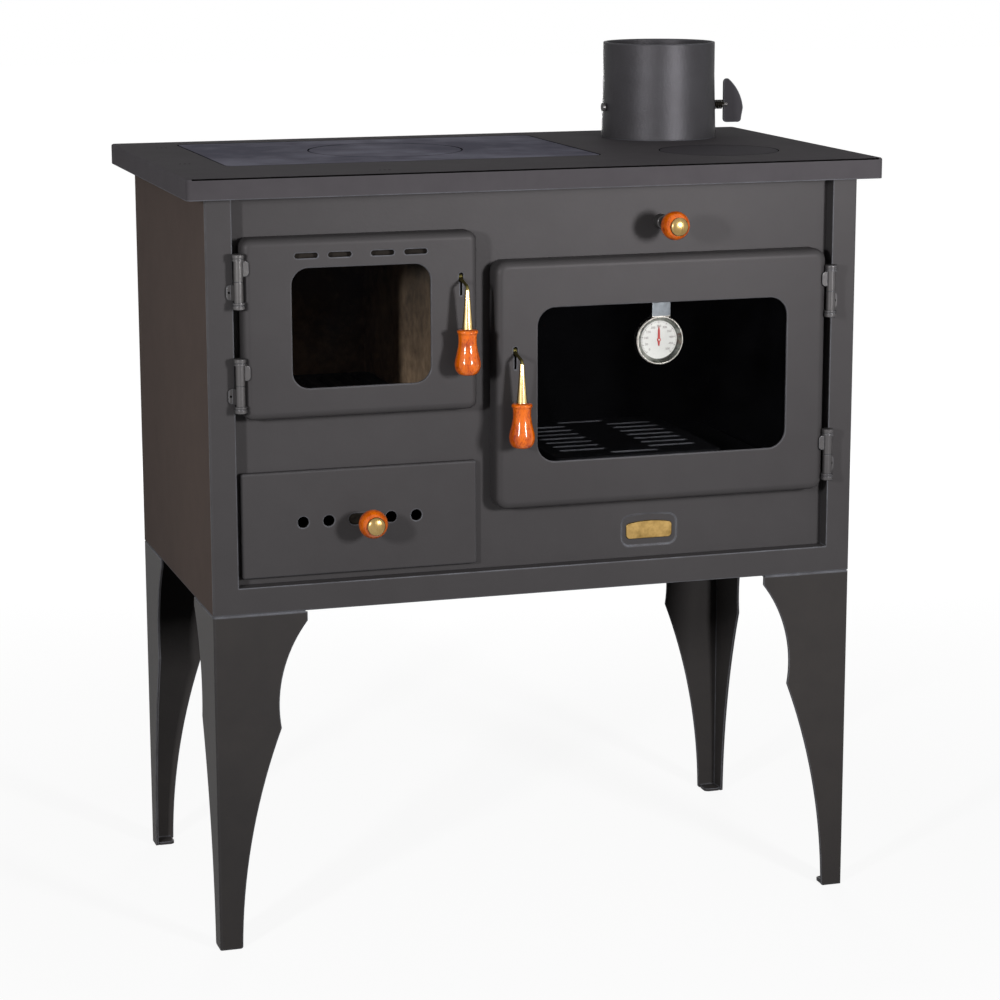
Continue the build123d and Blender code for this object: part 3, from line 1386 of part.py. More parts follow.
pan_width = drawer_width - 2 * drawer_inset - 2 * pan_side_gap
pan_length = firebox_back - liner_back - pan_back_gap
pan_low = drawer_z - drawer_height / 2 + drawer_inset + pan_floor_gap
with BuildPart() as ash_pan:
    with BuildSketch(Plane.XY.offset(pan_low)):
        with Locations((fire_x, liner_back + pan_length / 2)):
            RectangleRounded(pan_width, pan_length, pan_corner)
    extrude(amount=pan_height)
    offset(amount=-pan_wall, openings=ash_pan.faces().sort_by(Axis.Z)[-1])
    with BuildSketch(Plane.XY.offset(pan_low + pan_front_height)):
        with Locations((fire_x, liner_back)):
            Rectangle(pan_width - 2 * pan_front_border, 4 * pan_wall)
    extrude(amount=pan_height, mode=Mode.SUBTRACT)
save(ash_pan.part, "ash_pan")

with BuildPart() as drawer_runners:
    runner_top = pan_low - pan_floor_gap
    runner_length = firebox_length - firebox_wall - runner_back_gap
    for side in (-1, 1):
        with BuildSketch(facing(fire_x, panel_back + runner_length, 0)):
            with BuildLine():
                web = side * (pan_width / 2 - runner_inset)
                lip = side * (pan_width / 2 - runner_inset - runner_width)
                Polyline((web, inside_z), (web, runner_top), (lip, runner_top),
                         (lip, runner_top - sheet), (web - side * sheet, runner_top - sheet),
                         (web - side * sheet, inside_z + sheet), (lip, inside_z + sheet),
                         (lip, inside_z), close=True)
            make_face()
        extrude(amount=runner_length)
save(drawer_runners.part, "drawer_runners")

# ================================================================== firebox
with BuildPart() as firebox_shell:
    shell_top = hob_z - plate_thickness - ledge_thickness - firebox_top_gap
    shell_height = shell_top - inside_z
    with BuildSketch(Plane.XY.offset(inside_z)):
        with Locations((fire_x, panel_back + firebox_length / 2 + firebox_wall / 2)):
            Rectangle(2 * (firebox_half + firebox_wall), firebox_length + firebox_wall)
        with Locations((fire_x, panel_back + firebox_length / 2)):
            Rectangle(2 * firebox_half, firebox_length, mode=Mode.SUBTRACT)
    extrude(amount=shell_height)
    with BuildSketch(Plane.XY.offset(oven_ceiling + oven_wall + firebox_low_wall)):
        with Locations((fire_x + firebox_half + firebox_wall / 2, panel_back + firebox_length / 2)):
            Rectangle(firebox_wall + 2, firebox_length)
    extrude(amount=shell_height, mode=Mode.SUBTRACT)
    with BuildSketch(Plane.XY.offset(firebox_floor - firebox_wall)):
        with Locations((fire_x, panel_back + firebox_length / 2)):
            Rectangle(2 * firebox_half, firebox_length)
            Rectangle(grate_width - 2 * grate_seat, grate_length - 2 * grate_seat,
                      mode=Mode.SUBTRACT)
    extrude(amount=firebox_wall)
save(firebox_shell.part, "firebox_shell")

grate_y = panel_back + firebox_length / 2
with BuildPart() as fire_grate:
    with BuildSketch(Plane.XY.offset(firebox_floor)):
        with Locations((fire_x, grate_y)):
            RectangleRounded(grate_width, grate_length, grate_corner)
    extrude(amount=grate_thickness)
    fillet(fire_grate.faces().sort_by(Axis.Z)[-1].outer_wire().edges(), grate_round)
    slot_length = grate_length - 2 * grate_end_rim
    with BuildSketch(Plane.XY.offset(firebox_floor)):
        with Locations((fire_x, grate_y)):
            with GridLocations(grate_bar_pitch, 0, grate_slot_count, 1):
                SlotOverall(slot_length, grate_slot_width, rotation=90)
    extrude(amount=grate_thickness, mode=Mode.SUBTRACT)
save(fire_grate.part, "fire_grate")

brick_front = panel_back + brick_front_gap
side_brick_length = firebox_back - brick_front - brick_thickness
with BuildPart() as fire_bricks:
    with BuildSketch(Plane.XY.offset(firebox_floor)):
        for side in (-1, 1):
            with Locations((fire_x + side * (firebox_half - brick_thickness / 2),
                            brick_front + side_brick_length / 2)):
                Rectangle(brick_thickness, side_brick_length)
    extrude(amount=side_brick_height)
    chamfer(fire_bricks.edges().filter_by(Axis.Y).group_by(Axis.Z)[-1], brick_chamfer)
with BuildPart() as back_brick:
    with BuildSketch(Plane.XY.offset(firebox_floor)):
        with Locations((fire_x, firebox_back - brick_thickness / 2)):
            Rectangle(2 * firebox_half, brick_thickness)
    extrude(amount=back_brick_height)
    chamfer(back_brick.edges().filter_by(Axis.X).group_by(Axis.Z)[-1].sort_by(Axis.Y)[0],
            brick_chamfer)
save(Compound(fire_bricks.solids() + back_brick.solids()), "fire_bricks")

# ================================================================== oven
with BuildPart() as oven_box:
    box_height = oven_ceiling - oven_floor
    with BuildSketch(facing(oven_x, oven_back + oven_wall, (oven_floor + oven_ceiling) / 2)):
        Rectangle(2 * (oven_half + oven_wall), box_height + 2 * oven_wall)
    extrude(amount=oven_length + oven_wall)
    with BuildSketch(facing(oven_x, oven_back, (oven_floor + oven_ceiling) / 2)):
        RectangleRounded(2 * oven_half, box_height, oven_corner)
    extrude(amount=oven_length, mode=Mode.SUBTRACT)
save(oven_box.part, "oven_box")

tray_low = oven_floor + tray_seat
tray_mid_y = panel_back + tray_front_gap + tray_length / 2
with BuildPart() as oven_tray:
    with BuildSketch(Plane.XY.offset(tray_low)):
        with Locations((oven_x, tray_mid_y)):
            RectangleRounded(tray_width, tray_length, tray_corner)
    extrude(amount=tray_rim_height)
    fillet(oven_tray.faces().sort_by(Axis.Z)[-1].edges(), tray_edge_round)
    with BuildSketch(Plane.XY.offset(tray_low + tray_rim_height - 1)):
        with Locations((oven_x, tray_mid_y)):
            RectangleRounded(tray_deck_width, tray_deck_length, tray_corner)
    extrude(amount=tray_rise + 1, taper=tray_deck_taper)
    fillet(oven_tray.faces().sort_by(Axis.Z)[-1].edges(), tray_deck_round)
    offset(amount=-tray_wall, openings=oven_tray.faces().sort_by(Axis.Z)[0])
    with BuildSketch(Plane.XY.offset(tray_low)):
        with Locations((oven_x, tray_mid_y)):
            with GridLocations(2 * tray_slot_offset, tray_slot_pitch, 2, tray_slot_rows):
                SlotOverall(tray_slot_length, tray_slot_width)
            with GridLocations(0, tray_slot_pitch * (tray_slot_rows + 1), 1, 2):
                SlotOverall(tray_slot_length, tray_slot_width)
    extrude(amount=tray_rim_height + tray_rise + 5, mode=Mode.SUBTRACT)
save(oven_tray.part, "oven_tray")
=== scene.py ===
"""Looks of the wood cookstove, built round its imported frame.

Metres, +Z up, the front faces -Y, the origin is on the floor under the middle of the stove.
"""

from __future__ import annotations

import logging
import math
from dataclasses import dataclass
from enum import Enum

import bmesh
import bpy
import numpy as np
from mathutils import Matrix, Vector

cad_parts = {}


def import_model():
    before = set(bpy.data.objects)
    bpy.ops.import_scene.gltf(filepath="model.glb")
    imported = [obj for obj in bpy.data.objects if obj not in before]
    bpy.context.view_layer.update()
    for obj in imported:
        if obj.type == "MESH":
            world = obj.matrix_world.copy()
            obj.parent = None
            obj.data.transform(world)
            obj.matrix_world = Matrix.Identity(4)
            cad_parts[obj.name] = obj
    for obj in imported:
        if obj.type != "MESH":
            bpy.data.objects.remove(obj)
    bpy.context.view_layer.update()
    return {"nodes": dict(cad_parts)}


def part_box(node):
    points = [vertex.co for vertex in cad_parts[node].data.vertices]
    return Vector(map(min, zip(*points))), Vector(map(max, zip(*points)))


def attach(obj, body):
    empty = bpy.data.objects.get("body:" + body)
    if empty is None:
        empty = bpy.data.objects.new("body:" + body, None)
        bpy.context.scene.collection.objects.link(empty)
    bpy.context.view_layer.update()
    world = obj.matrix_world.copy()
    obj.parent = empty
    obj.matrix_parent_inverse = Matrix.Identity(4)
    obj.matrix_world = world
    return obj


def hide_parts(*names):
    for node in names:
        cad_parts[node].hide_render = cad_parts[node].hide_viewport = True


LOG = logging.getLogger("cookstove")
MM = 0.001
TAU = 2.0 * math.pi
QUARTER = math.pi / 2
CREASE = math.radians(35.0)
MERGE_WITHIN = 1e-7
VANISH_WITHIN = 1e-8

Colour = tuple[float, float, float]
Tone = tuple[int, int, int]
Point = tuple[float, float, float]
Piece = bpy.types.Object
Node = bpy.types.Node
Socket = bpy.types.NodeSocket
Tree = bpy.types.NodeTree

SRGB_KNEE, SRGB_SLOPE, SRGB_OFFSET, SRGB_POWER = 0.04045, 12.92, 0.055, 2.4


def srgb(tone: Tone) -> Colour:
    """Turn an 8-bit display colour into the linear colour that a shader takes.

    Args:
        tone: Red, green and blue, 0 to 255.

    Returns:
        The linear colour.
    """
    display = np.array(tone) / 255.0
    curved = ((display + SRGB_OFFSET) / (1.0 + SRGB_OFFSET)) ** SRGB_POWER
    linear = np.where(display <= SRGB_KNEE, display / SRGB_SLOPE, curved)
    return tuple(float(channel) for channel in linear)


def opaque(colour: Colour) -> tuple[float, ...]:
    """A linear colour with full alpha."""
    return (*colour, 1.0)


def spaced(label: str) -> str:
    """A socket's name, from a keyword that has underscores for spaces."""
    return label.replace("_", " ")


# ---------------------------------------------------------------- surfaces
class Ends(Enum):
    """Whether the first and the last row of a grid surface are closed."""

    OPEN = "open"
    CLOSED = "closed"


class Axis(Enum):
    """Direction that a turned piece's axis or a flat outline's face points in."""

    UP = (0.0, 0.0, 1.0)
    FRONT = (0.0, -1.0, 0.0)


def add_piece(name: str, data: bpy.types.ID) -> Piece:
    """Put a mesh, a curve, a lamp or a camera into the scene as an object at the origin.

    Args:
        name: Name of the object.
        data: Its mesh, curve, lamp or camera.

    Returns:
        The new object.
    """
    piece = bpy.data.objects.new(name, data)
    bpy.context.scene.collection.objects.link(piece)
    return piece


def link_mesh(name: str, points: np.ndarray, faces: list) -> Piece:
    """Make an object from points and faces, with doubles merged and its faces turned outwards.

    Args:
        name: Name of the piece.
        points: Array of points, one row each, in metres.
        faces: Lists of point numbers.

    Returns:
        The new object, at the origin, smooth but for its creases.
    """
    mesh = bpy.data.meshes.new(name)
    mesh.from_pydata(points.tolist(), [], faces)
    work = bmesh.new()
    work.from_mesh(mesh)
    bmesh.ops.remove_doubles(work, verts=work.verts, dist=MERGE_WITHIN)
    bmesh.ops.dissolve_degenerate(work, edges=work.edges, dist=VANISH_WITHIN)
    bmesh.ops.recalc_face_normals(work, faces=work.faces)
    work.to_mesh(mesh)
    work.free()
    mesh.shade_smooth()
    mesh.set_sharp_from_angle(angle=CREASE)
    return add_piece(name, mesh)


def grid_surface(name: str, grid: np.ndarray, ends: Ends = Ends.OPEN) -> Piece:
    """Skin a grid of points: rows are stations along the shape, columns run round it.

    Face (i, j) joins rows i and i + 1 and columns j and j + 1, and the last column joins the first.
    An end row that closes becomes one many-sided face.

    Args:
        name: Name of the piece.
        grid: Array of rows x columns x 3, in metres.
        ends: Whether the end rows are closed.

    Returns:
        The new object.
    """
    rows, columns = grid.shape[:2]
    row = np.arange(rows - 1)[:, None]
    column = np.arange(columns)[None, :]
    following = (column + 1) % columns
    quads = np.stack([row * columns + column, row * columns + following,
                      (row + 1) * columns + following, (row + 1) * columns + column], axis=-1)
    faces = quads.reshape(-1, 4).tolist()
    if ends is Ends.CLOSED:
        faces.append(list(range(columns))[::-1])
        faces.append(list(range((rows - 1) * columns, rows * columns)))
    return link_mesh(name, grid.reshape(-1, 3), faces)


def turned(name: str, profile: np.ndarray, centre: Point, axis: Axis, steps: int) -> Piece:
    """Turn a profile round an axis, as on a lathe.

    A point of the surface is the centre, plus the profile's height along the axis, plus its radius
    times the cosine and sine of the turn along +X and along the direction square to both.

    Args:
        name: Name of the piece.
        profile: Rows of (radius, height), in metres. A radius of 0 closes the shape.
        centre: Where height 0 lies.
        axis: Direction of the axis.
        steps: Columns round the axis.

    Returns:
        The new object.
    """
    along, first = np.array(axis.value), np.array([1.0, 0.0, 0.0])
    second = np.cross(along, first)
    turn = np.arange(steps)[:, None] * TAU / steps
    ring = np.cos(turn) * first + np.sin(turn) * second
    heights, radii = profile[:, 1, None, None], profile[:, 0, None, None]
    return grid_surface(name, np.asarray(centre) + heights * along + radii * ring[None, :, :])


def outline_rows(centre: Point, stations: list[tuple[float, ...]], axis: Axis, corner_steps: int,
                 side_steps: int) -> np.ndarray:
    """Rows for a grid surface: one rounded rectangle for each station.

    Each corner is a quarter circle about its own centre. The sides between them are straight.

    Args:
        centre: Middle of the rectangles, and the depth that station depths count from.
        stations: Rows of (width, height, corner radius, depth), with depth along +Z where the
            outlines face up, and along +Y where they face the front.
        axis: Where the outlines face.
        corner_steps: Runs in each corner.
        side_steps: Runs in each side.

    Returns:
        Array of rows x columns x 3.
    """
    share = np.linspace(0.0, 1.0, side_steps + 1)[1:-1, None]
    rows = []
    for width, height, radius, depth in stations:
        inset = [width / 2 - radius, height / 2 - radius]
        centres = np.array([[1, 1], [-1, 1], [-1, -1], [1, -1]]) * inset
        corners = [arc(middle, radius, 90 * number, 90 * number + 90, corner_steps)
                   for number, middle in enumerate(centres)]
        runs = []
        for corner, following in zip(corners, corners[1:] + corners[:1]):
            runs += [corner, corner[-1] + share * (following[0] - corner[-1])]
        across, tall = np.hsplit(np.concatenate(runs), 2)
        level = np.full_like(across, depth)
        order = (across, tall, level) if axis is Axis.UP else (across, level, tall)
        rows.append(np.hstack(order) + centre)
    return np.array(rows)


def arc(centre: Point, radius: float, start: float, end: float, steps: int) -> np.ndarray:
    """Points on an arc.

    Args:
        centre: Centre of the arc, two numbers.
        radius: Radius.
        start: First angle, in degrees.
        end: Last angle, in degrees.
        steps: Runs along the arc.

    Returns:
        Array of points x 2.
    """
    angle = np.radians(np.linspace(start, end, steps + 1))
    return np.asarray(centre) + radius * np.stack([np.cos(angle), np.sin(angle)], axis=1)


def dome(radius: float, rise: float, steps: int, fullness: float = 1.0) -> np.ndarray:
    """Profile of a dome, up to but without its top.

    The radius falls off as the cosine and the height grows as the sine of a quarter turn, raised
    to the fullness.

    Args:
        radius: Radius at the foot.
        rise: Height of the top.
        steps: Runs from the foot to the top.
        fullness: Below 1 the shoulder is fuller than an ellipse.

    Returns:
        Rows of (radius, height).
    """
    turn = np.linspace(0.0, QUARTER, steps + 1)[:-1]
    return np.stack([radius * np.cos(turn), rise * np.sin(turn) ** fullness], axis=1)


def smooth_curve(knots: np.ndarray, steps: int) -> np.ndarray:
    """Carry a smooth curve through a few knots.

    Each stretch is a cubic whose slopes at its ends are half the step from the knot before to the
    knot after. Its points are the powers of the share gone, times the cubic's matrix, times the
    four knots about the stretch.

    Args:
        knots: Array of points x 2.
        steps: Runs in each stretch.

    Returns:
        Array of points x 2.
    """
    padded = np.concatenate([2 * knots[:1] - knots[1:2], knots, 2 * knots[-1:] - knots[-2:-1]])
    cubic = np.array([[0, 2, 0, 0], [-1, 0, 1, 0], [2, -5, 4, -1], [-1, 3, -3, 1]]) / 2
    powers = np.vander(np.arange(steps) / steps, 4, increasing=True)
    stretches = [powers @ cubic @ padded[first:first + 4] for first in range(len(knots) - 1)]
    return np.concatenate([*stretches, knots[-1:]])


# ---------------------------------------------------------------- shader node sheets
FLOAT, COLOUR, VECTOR = "NodeSocketFloat", "NodeSocketColor", "NodeSocketVector"
SOCKET_KINDS = {"VALUE": FLOAT, "RGBA": COLOUR, "VECTOR": VECTOR}
MIX_SHARE, MIX_FIRST, MIX_SECOND, MIX_RESULT = 0, 6, 7, 2
NODE_SPACING = 180.0


class Sheet:
    """Adds nodes to one node tree and joins them.

    The sheets of a group or a material also have a place, which their patterns follow.
    """

    place: Socket

    def __init__(self, tree: Tree) -> None:
        """Keep the tree."""
        self.tree = tree

    def add(self, kind: str, inputs: dict | None = None, **settings: object) -> Node:
        """Add one node.

        Args:
            kind: The node's type.
            inputs: Socket name or number to a value, or to an output socket that feeds it.
            **settings: The node's own properties.

        Returns:
            The node.
        """
        node = self.tree.nodes.new(kind)
        node.location = (NODE_SPACING * len(self.tree.nodes), 0.0)
        for key, value in settings.items():
            setattr(node, key, value)
        for key, value in (inputs or {}).items():
            self.feed(node, key, value)
        return node

    def feed(self, node: Node, key: str | int, value: object) -> None:
        """Join an output socket to a node's input, or set the input to a plain value.

        Args:
            node: The node that takes the value.
            key: Name or number of its input.
            value: An output socket, or a plain value.
        """
        if isinstance(value, Socket):
            self.tree.links.new(value, node.inputs[key])
        else:
            node.inputs[key].default_value = value

    def noise(self, scale: float | Socket, detail: float, roughness: float,
              place: Socket | None = None) -> Socket:
        """Noise value, from 0 to 1, at a place that is given or the one that patterns follow.

        Args:
            scale: How fine the noise is, in waves to a metre.
            detail: Number of finer layers.
            roughness: How much each finer layer adds.
            place: Where it is read, if not at the sheet's own place.

        Returns:
            The value.
        """
        inputs = {"Vector": place or self.place, "Scale": scale, "Detail": detail,
                  "Roughness": roughness}
        return self.add("ShaderNodeTexNoise", inputs).outputs["Fac"]

    def spread(self, value: Socket, low: float, high: float, new_low: float = 0.0,
               new_high: float = 1.0) -> Socket:
        """Stretch a value from one range to another, with its ends held.

        Args:
            value: The value.
            low: Start of its range.
            high: End of its range.
            new_low: What the start becomes.
            new_high: What the end becomes.

        Returns:
            The new value.
        """
        inputs = {"Value": value, "From Min": low, "From Max": high,
                  "To Min": new_low, "To Max": new_high}
        return self.add("ShaderNodeMapRange", inputs).outputs["Result"]

    def between(self, share: Socket, low: float, high: float) -> Socket:
        """Carry a share from 0 to 1 over to a range."""
        return self.spread(share, 0.0, 1.0, low, high)

    def blend(self, share: Socket, first: Socket | Colour, second: Socket | Colour) -> Socket:
        """Mix two colours by a share.

        Args:
            share: Share of the second colour.
            first: The first colour.
            second: The second colour.

        Returns:
            The mixed colour.
        """
        start, end = (colour if isinstance(colour, Socket) else opaque(colour)
                      for colour in (first, second))
        inputs = {MIX_SHARE: share, MIX_FIRST: start, MIX_SECOND: end}
        return self.add("ShaderNodeMix", inputs, data_type="RGBA").outputs[MIX_RESULT]

    def maths(self, operation: str, first: object, second: object) -> Socket:
        """Join two numbers by a named operation."""
        return self.add("ShaderNodeMath", {0: first, 1: second}, operation=operation).outputs[0]

    def plus(self, first: object, second: object) -> Socket:
        """Add two numbers."""
        return self.maths("ADD", first, second)

    def times(self, first: object, second: object) -> Socket:
        """Multiply two numbers."""
        return self.maths("MULTIPLY", first, second)


class GroupSheet(Sheet):
    """The inside of a new shader node group that follows a place."""

    def __init__(self, name: str, **takes: object) -> None:
        """Start the group with its inputs.

        Args:
            name: Name of the group.
            **takes: Input name to its default: a number, a vector of three or a colour of four.
        """
        tree = bpy.data.node_groups.new(name, "ShaderNodeTree")
        super().__init__(tree)
        tree.interface.new_socket(name="Vector", in_out="INPUT", socket_type=VECTOR)
        for label, default in takes.items():
            kind = FLOAT if isinstance(default, float) else VECTOR if len(default) == 3 else COLOUR
            tree.interface.new_socket(name=spaced(label), in_out="INPUT",
                                      socket_type=kind).default_value = default
        self.given = self.add("NodeGroupInput").outputs
        self.place = self.given["Vector"]

    def give(self, **values: Socket) -> Tree:
        """Add the group's outputs, each of its value's kind, and hand over the group.

        Args:
            **values: Output name to the socket that feeds it.

        Returns:
            The finished group.
        """
        for label, value in values.items():
            self.tree.interface.new_socket(name=spaced(label), in_out="OUTPUT",
                                           socket_type=SOCKET_KINDS[value.type])
        self.add("NodeGroupOutput", {spaced(label): value for label, value in values.items()})
        return self.tree


class Effects:
    """The effects that several finishes share, each a node group that is built once."""

    def __init__(self) -> None:
        """Build every group."""
        self.painted_edge_highlight = self._painted_edge_highlight()
        self.orange_peel = self._orange_peel()
        self.mottle = self._mottle()
        self.dust = self._dust()
        self.brushed = self._brushed()
        self.grain = self._grain()

    @staticmethod
    def _painted_edge_highlight() -> Tree:
        """Rounded shading of sharp edges, and a mask where a painted highlight is laid along them.

        The mask is how far the rounded normal turns from the true one, broken up by a noise.

        Returns:
            The finished group.
        """
        group = GroupSheet("painted_edge_highlight", Radius=0.0012, Amount=0.5)
        radius = group.given["Radius"]
        rounded = group.add("ShaderNodeBevel", {"Radius": radius}, samples=6).outputs[0]
        flat = group.add("ShaderNodeNewGeometry").outputs["Normal"]
        along = group.add("ShaderNodeVectorMath", {0: rounded, 1: flat},
                          operation="DOT_PRODUCT").outputs["Value"]
        turn = group.spread(along, low=0.995, high=0.88)
        blotches = group.noise(scale=45.0, detail=4.0, roughness=0.6)
        patches = group.spread(blotches, low=0.35, high=0.6, new_low=0.5)
        painted_highlight = group.times(group.times(turn, patches), group.given["Amount"])
        return group.give(Normal=rounded, Mask=painted_highlight)

    @staticmethod
    def _orange_peel() -> Tree:
        """Sprayed paint: a soft dimpled skin with fine grit in it. Gives a height and a mask.

        Returns:
            The finished group.
        """
        group = GroupSheet("orange_peel", Grit=0.5)
        dimple = group.noise(scale=260.0, detail=2.0, roughness=0.5)
        grit = group.noise(scale=1500.0, detail=2.0, roughness=0.6)
        height = group.plus(dimple, group.times(grit, group.given["Grit"]))
        return group.give(Height=height, Mask=group.spread(grit, low=0.45, high=0.75))

    @staticmethod
    def _mottle() -> Tree:
        """Slow change of a colour: large clouds and smaller blotches between two tones.

        Returns:
            The finished group.
        """
        group = GroupSheet("mottle", Light=(0.5, 0.5, 0.5, 1.0), Dark=(0.2, 0.2, 0.2, 1.0),
                           Cloud_Scale=4.0, Blotch_Scale=30.0, Blotches=0.4)
        given = group.given
        clouds = group.noise(given["Cloud Scale"], detail=3.0, roughness=0.5)
        blotches = group.noise(given["Blotch Scale"], detail=5.0, roughness=0.6)
        small = group.times(group.maths("SUBTRACT", blotches, 0.5), given["Blotches"])
        mask = group.spread(group.plus(clouds, small), low=0.3, high=0.7)
        return group.give(Color=group.blend(mask, given["Dark"], given["Light"]), Mask=mask)

    @staticmethod
    def _dust() -> Tree:
        """Fine dust that lies on faces that look up, in thin drifts. Gives a mask.

        Returns:
            The finished group.
        """
        group = GroupSheet("dust", Amount=0.15)
        normal = group.add("ShaderNodeNewGeometry").outputs["Normal"]
        upward = group.add("ShaderNodeSeparateXYZ", {0: normal}).outputs["Z"]
        drifts = group.noise(scale=14.0, detail=6.0, roughness=0.65)
        lying = group.times(group.spread(upward, low=0.3, high=0.95),
                            group.spread(drifts, low=0.35, high=0.75))
        return group.give(Mask=group.times(lying, group.given["Amount"]))

    @staticmethod
    def _brushed() -> Tree:
        """Fine lines along one direction, as from brushing. Gives a height and a mask.

        Returns:
            The finished group.
        """
        group = GroupSheet("brushed", Stretch=(1.0, 1.0, 1.0), Scale=900.0)
        stretched = group.add("ShaderNodeVectorMath", {0: group.place, 1: group.given["Stretch"]},
                              operation="MULTIPLY").outputs[0]
        lines = group.noise(group.given["Scale"], detail=3.0, roughness=0.6, place=stretched)
        return group.give(Height=lines, Mask=group.spread(lines, low=0.35, high=0.65))

    @staticmethod
    def _grain() -> Tree:
        """Turned wood: faint growth bands that waver, crossed by many short dark pores.

        Returns:
            The finished group.
        """
        group = GroupSheet("grain", Light=(0.6, 0.3, 0.1, 1.0), Dark=(0.2, 0.08, 0.03, 1.0))
        waves = {"Vector": group.place, "Scale": 26.0, "Distortion": 7.0, "Detail": 3.0,
                 "Detail Scale": 1.6}
        bands = group.add("ShaderNodeTexWave", waves, wave_type="BANDS",
                          bands_direction="X").outputs["Fac"]
        stretch = {"Vector": group.place, "Scale": (1.0, 1.0, 0.3)}
        long_way = group.add("ShaderNodeMapping", stretch).outputs[0]
        pores = group.noise(scale=900.0, detail=3.0, roughness=0.6, place=long_way)
        clouds = group.noise(scale=70.0, detail=3.0, roughness=0.5)
        tone = group.plus(group.times(bands, 0.25), group.times(clouds, 0.75))
        pored = group.spread(pores, low=0.5, high=0.68, new_high=0.45)
        share = group.spread(group.maths("SUBTRACT", tone, pored), low=0.0, high=0.6)
        colour = group.blend(share, group.given["Dark"], group.given["Light"])
        return group.give(Color=colour, Height=pores)


class Canvas(Sheet):
    """A new material's tree, with its shader and the place that patterns follow."""

    def __init__(self, name: str) -> None:
        """Start the material.

        Args:
            name: Name of the material.
        """
        self.material = bpy.data.materials.new(name)
        self.material.use_nodes = True
        self.material.node_tree.nodes.clear()
        super().__init__(self.material.node_tree)
        self.shader = self.add("ShaderNodeBsdfPrincipled")
        self.place = self.add("ShaderNodeTexCoord").outputs["Object"]
        self.add("ShaderNodeOutputMaterial", {0: self.shader.outputs[0]})

    def effect(self, group: Tree, **values: object) -> bpy.types.bpy_prop_collection:
        """Place a shared node group with its own values, and hand over its outputs.

        Args:
            group: The shared group.
            **values: Values for its inputs.

        Returns:
            The group node's outputs.
        """
        inputs = {"Vector": self.place}
        inputs |= {spaced(label): value for label, value in values.items()}
        return self.add("ShaderNodeGroup", inputs, node_tree=group).outputs

    def dress(self, **values: object) -> None:
        """Feed the shader's inputs."""
        for label, value in values.items():
            self.feed(self.shader, spaced(label), value)

    def bump(self, height: Socket, depth: float, strength: float = 1.0,
             under: Socket | None = None) -> None:
        """Feed a height, of a depth in metres, to the normal, on top of one that is given.

        Args:
            height: The height, from 0 to 1.
            depth: What a height of 1 stands for, in metres.
            strength: Share of the bump that shows.
            under: Normal that it is laid on, if not the mesh's own.
        """
        inputs = {"Strength": strength, "Distance": depth, "Height": height}
        node = self.add("ShaderNodeBump", inputs)
        if under is not None:
            self.feed(node, "Normal", under)
        self.dress(Normal=node.outputs[0])


# ---------------------------------------------------------------- finishes
@dataclass(frozen=True)
class Finish:
    """A finish: a material that is built from its fields."""

    name: str

    def build(self, effects: Effects) -> bpy.types.Material:
        """Make the material, with the shared node groups at hand.

        Args:
            effects: The shared node groups.

        Returns:
            The material.
        """
        canvas = Canvas(self.name)
        self.dress(canvas, effects)
        return canvas.material

    def dress(self, canvas: Canvas, effects: Effects) -> None:
        """Join this finish's pattern to the shader."""
        raise NotImplementedError


@dataclass(frozen=True)
class TwoToned(Finish):
    """A finish that wanders between a light and a dark tone."""

    light: Tone
    dark: Tone

    def tones(self) -> dict[str, tuple[float, ...]]:
        """The two tones, as a node group takes them."""
        return {"Light": opaque(srgb(self.light)), "Dark": opaque(srgb(self.dark))}

    def mottled(self, canvas: Canvas, effects: Effects, clouds: float, blotch_scale: float,
                blotches: float) -> bpy.types.bpy_prop_collection:
        """Both tones in clouds of one scale, broken up by so much of blotches of another."""
        return canvas.effect(effects.mottle, Cloud_Scale=clouds, Blotch_Scale=blotch_scale,
                             Blotches=blotches, **self.tones())


@dataclass(frozen=True)
class StovePaint(TwoToned):
    """Sprayed heat-resistant paint on steel: matt to satin, with fine grit and slow clouds."""

    roughness: float
    smoother: float = 0.04
    rougher: float = 0.06
    grit: float = 0.5
    depth: float = 0.12 * MM
    dust: float = 0.0
    specular: float = 0.2
    metallic: float = 0.0
    edge: float = 2.2 * MM
    # Share and colour of a painted highlight laid along sharp edges, for the light that the folds
    # catch.
    highlight_share: float = 0.9
    highlight_colour: Colour = (0.2, 0.205, 0.23)
    dust_colour: Colour = (0.2, 0.19, 0.185)

    def dress(self, canvas: Canvas, effects: Effects) -> None:
        """Mottled colour with a painted highlight along edges, grit in the roughness and a dimpled
        normal.

        Args:
            canvas: The new material's tree.
            effects: The shared node groups.
        """
        tone = self.mottled(canvas, effects, clouds=3.0, blotch_scale=38.0, blotches=0.35)
        skin = canvas.effect(effects.orange_peel, Grit=self.grit)
        dust = canvas.effect(effects.dust, Amount=self.dust)
        colour, normal = canvas.blend(dust["Mask"], tone["Color"], self.dust_colour), None
        if self.edge > 0.0:
            edges = canvas.effect(effects.painted_edge_highlight, Radius=self.edge, Amount=self.highlight_share)
            # Painted highlight: the pale colour laid along the edges.
            colour = canvas.blend(edges["Mask"], colour, self.highlight_colour)
            normal = edges["Normal"]
        rough = canvas.between(skin["Mask"], self.roughness - self.smoother,
                               self.roughness + self.rougher)
        canvas.dress(Base_Color=colour, Roughness=rough, Metallic=self.metallic,
                     Specular_IOR_Level=self.specular, Specular_Tint=opaque((0.0, 0.0, 0.0)))
        canvas.bump(skin["Height"], self.depth, under=normal)


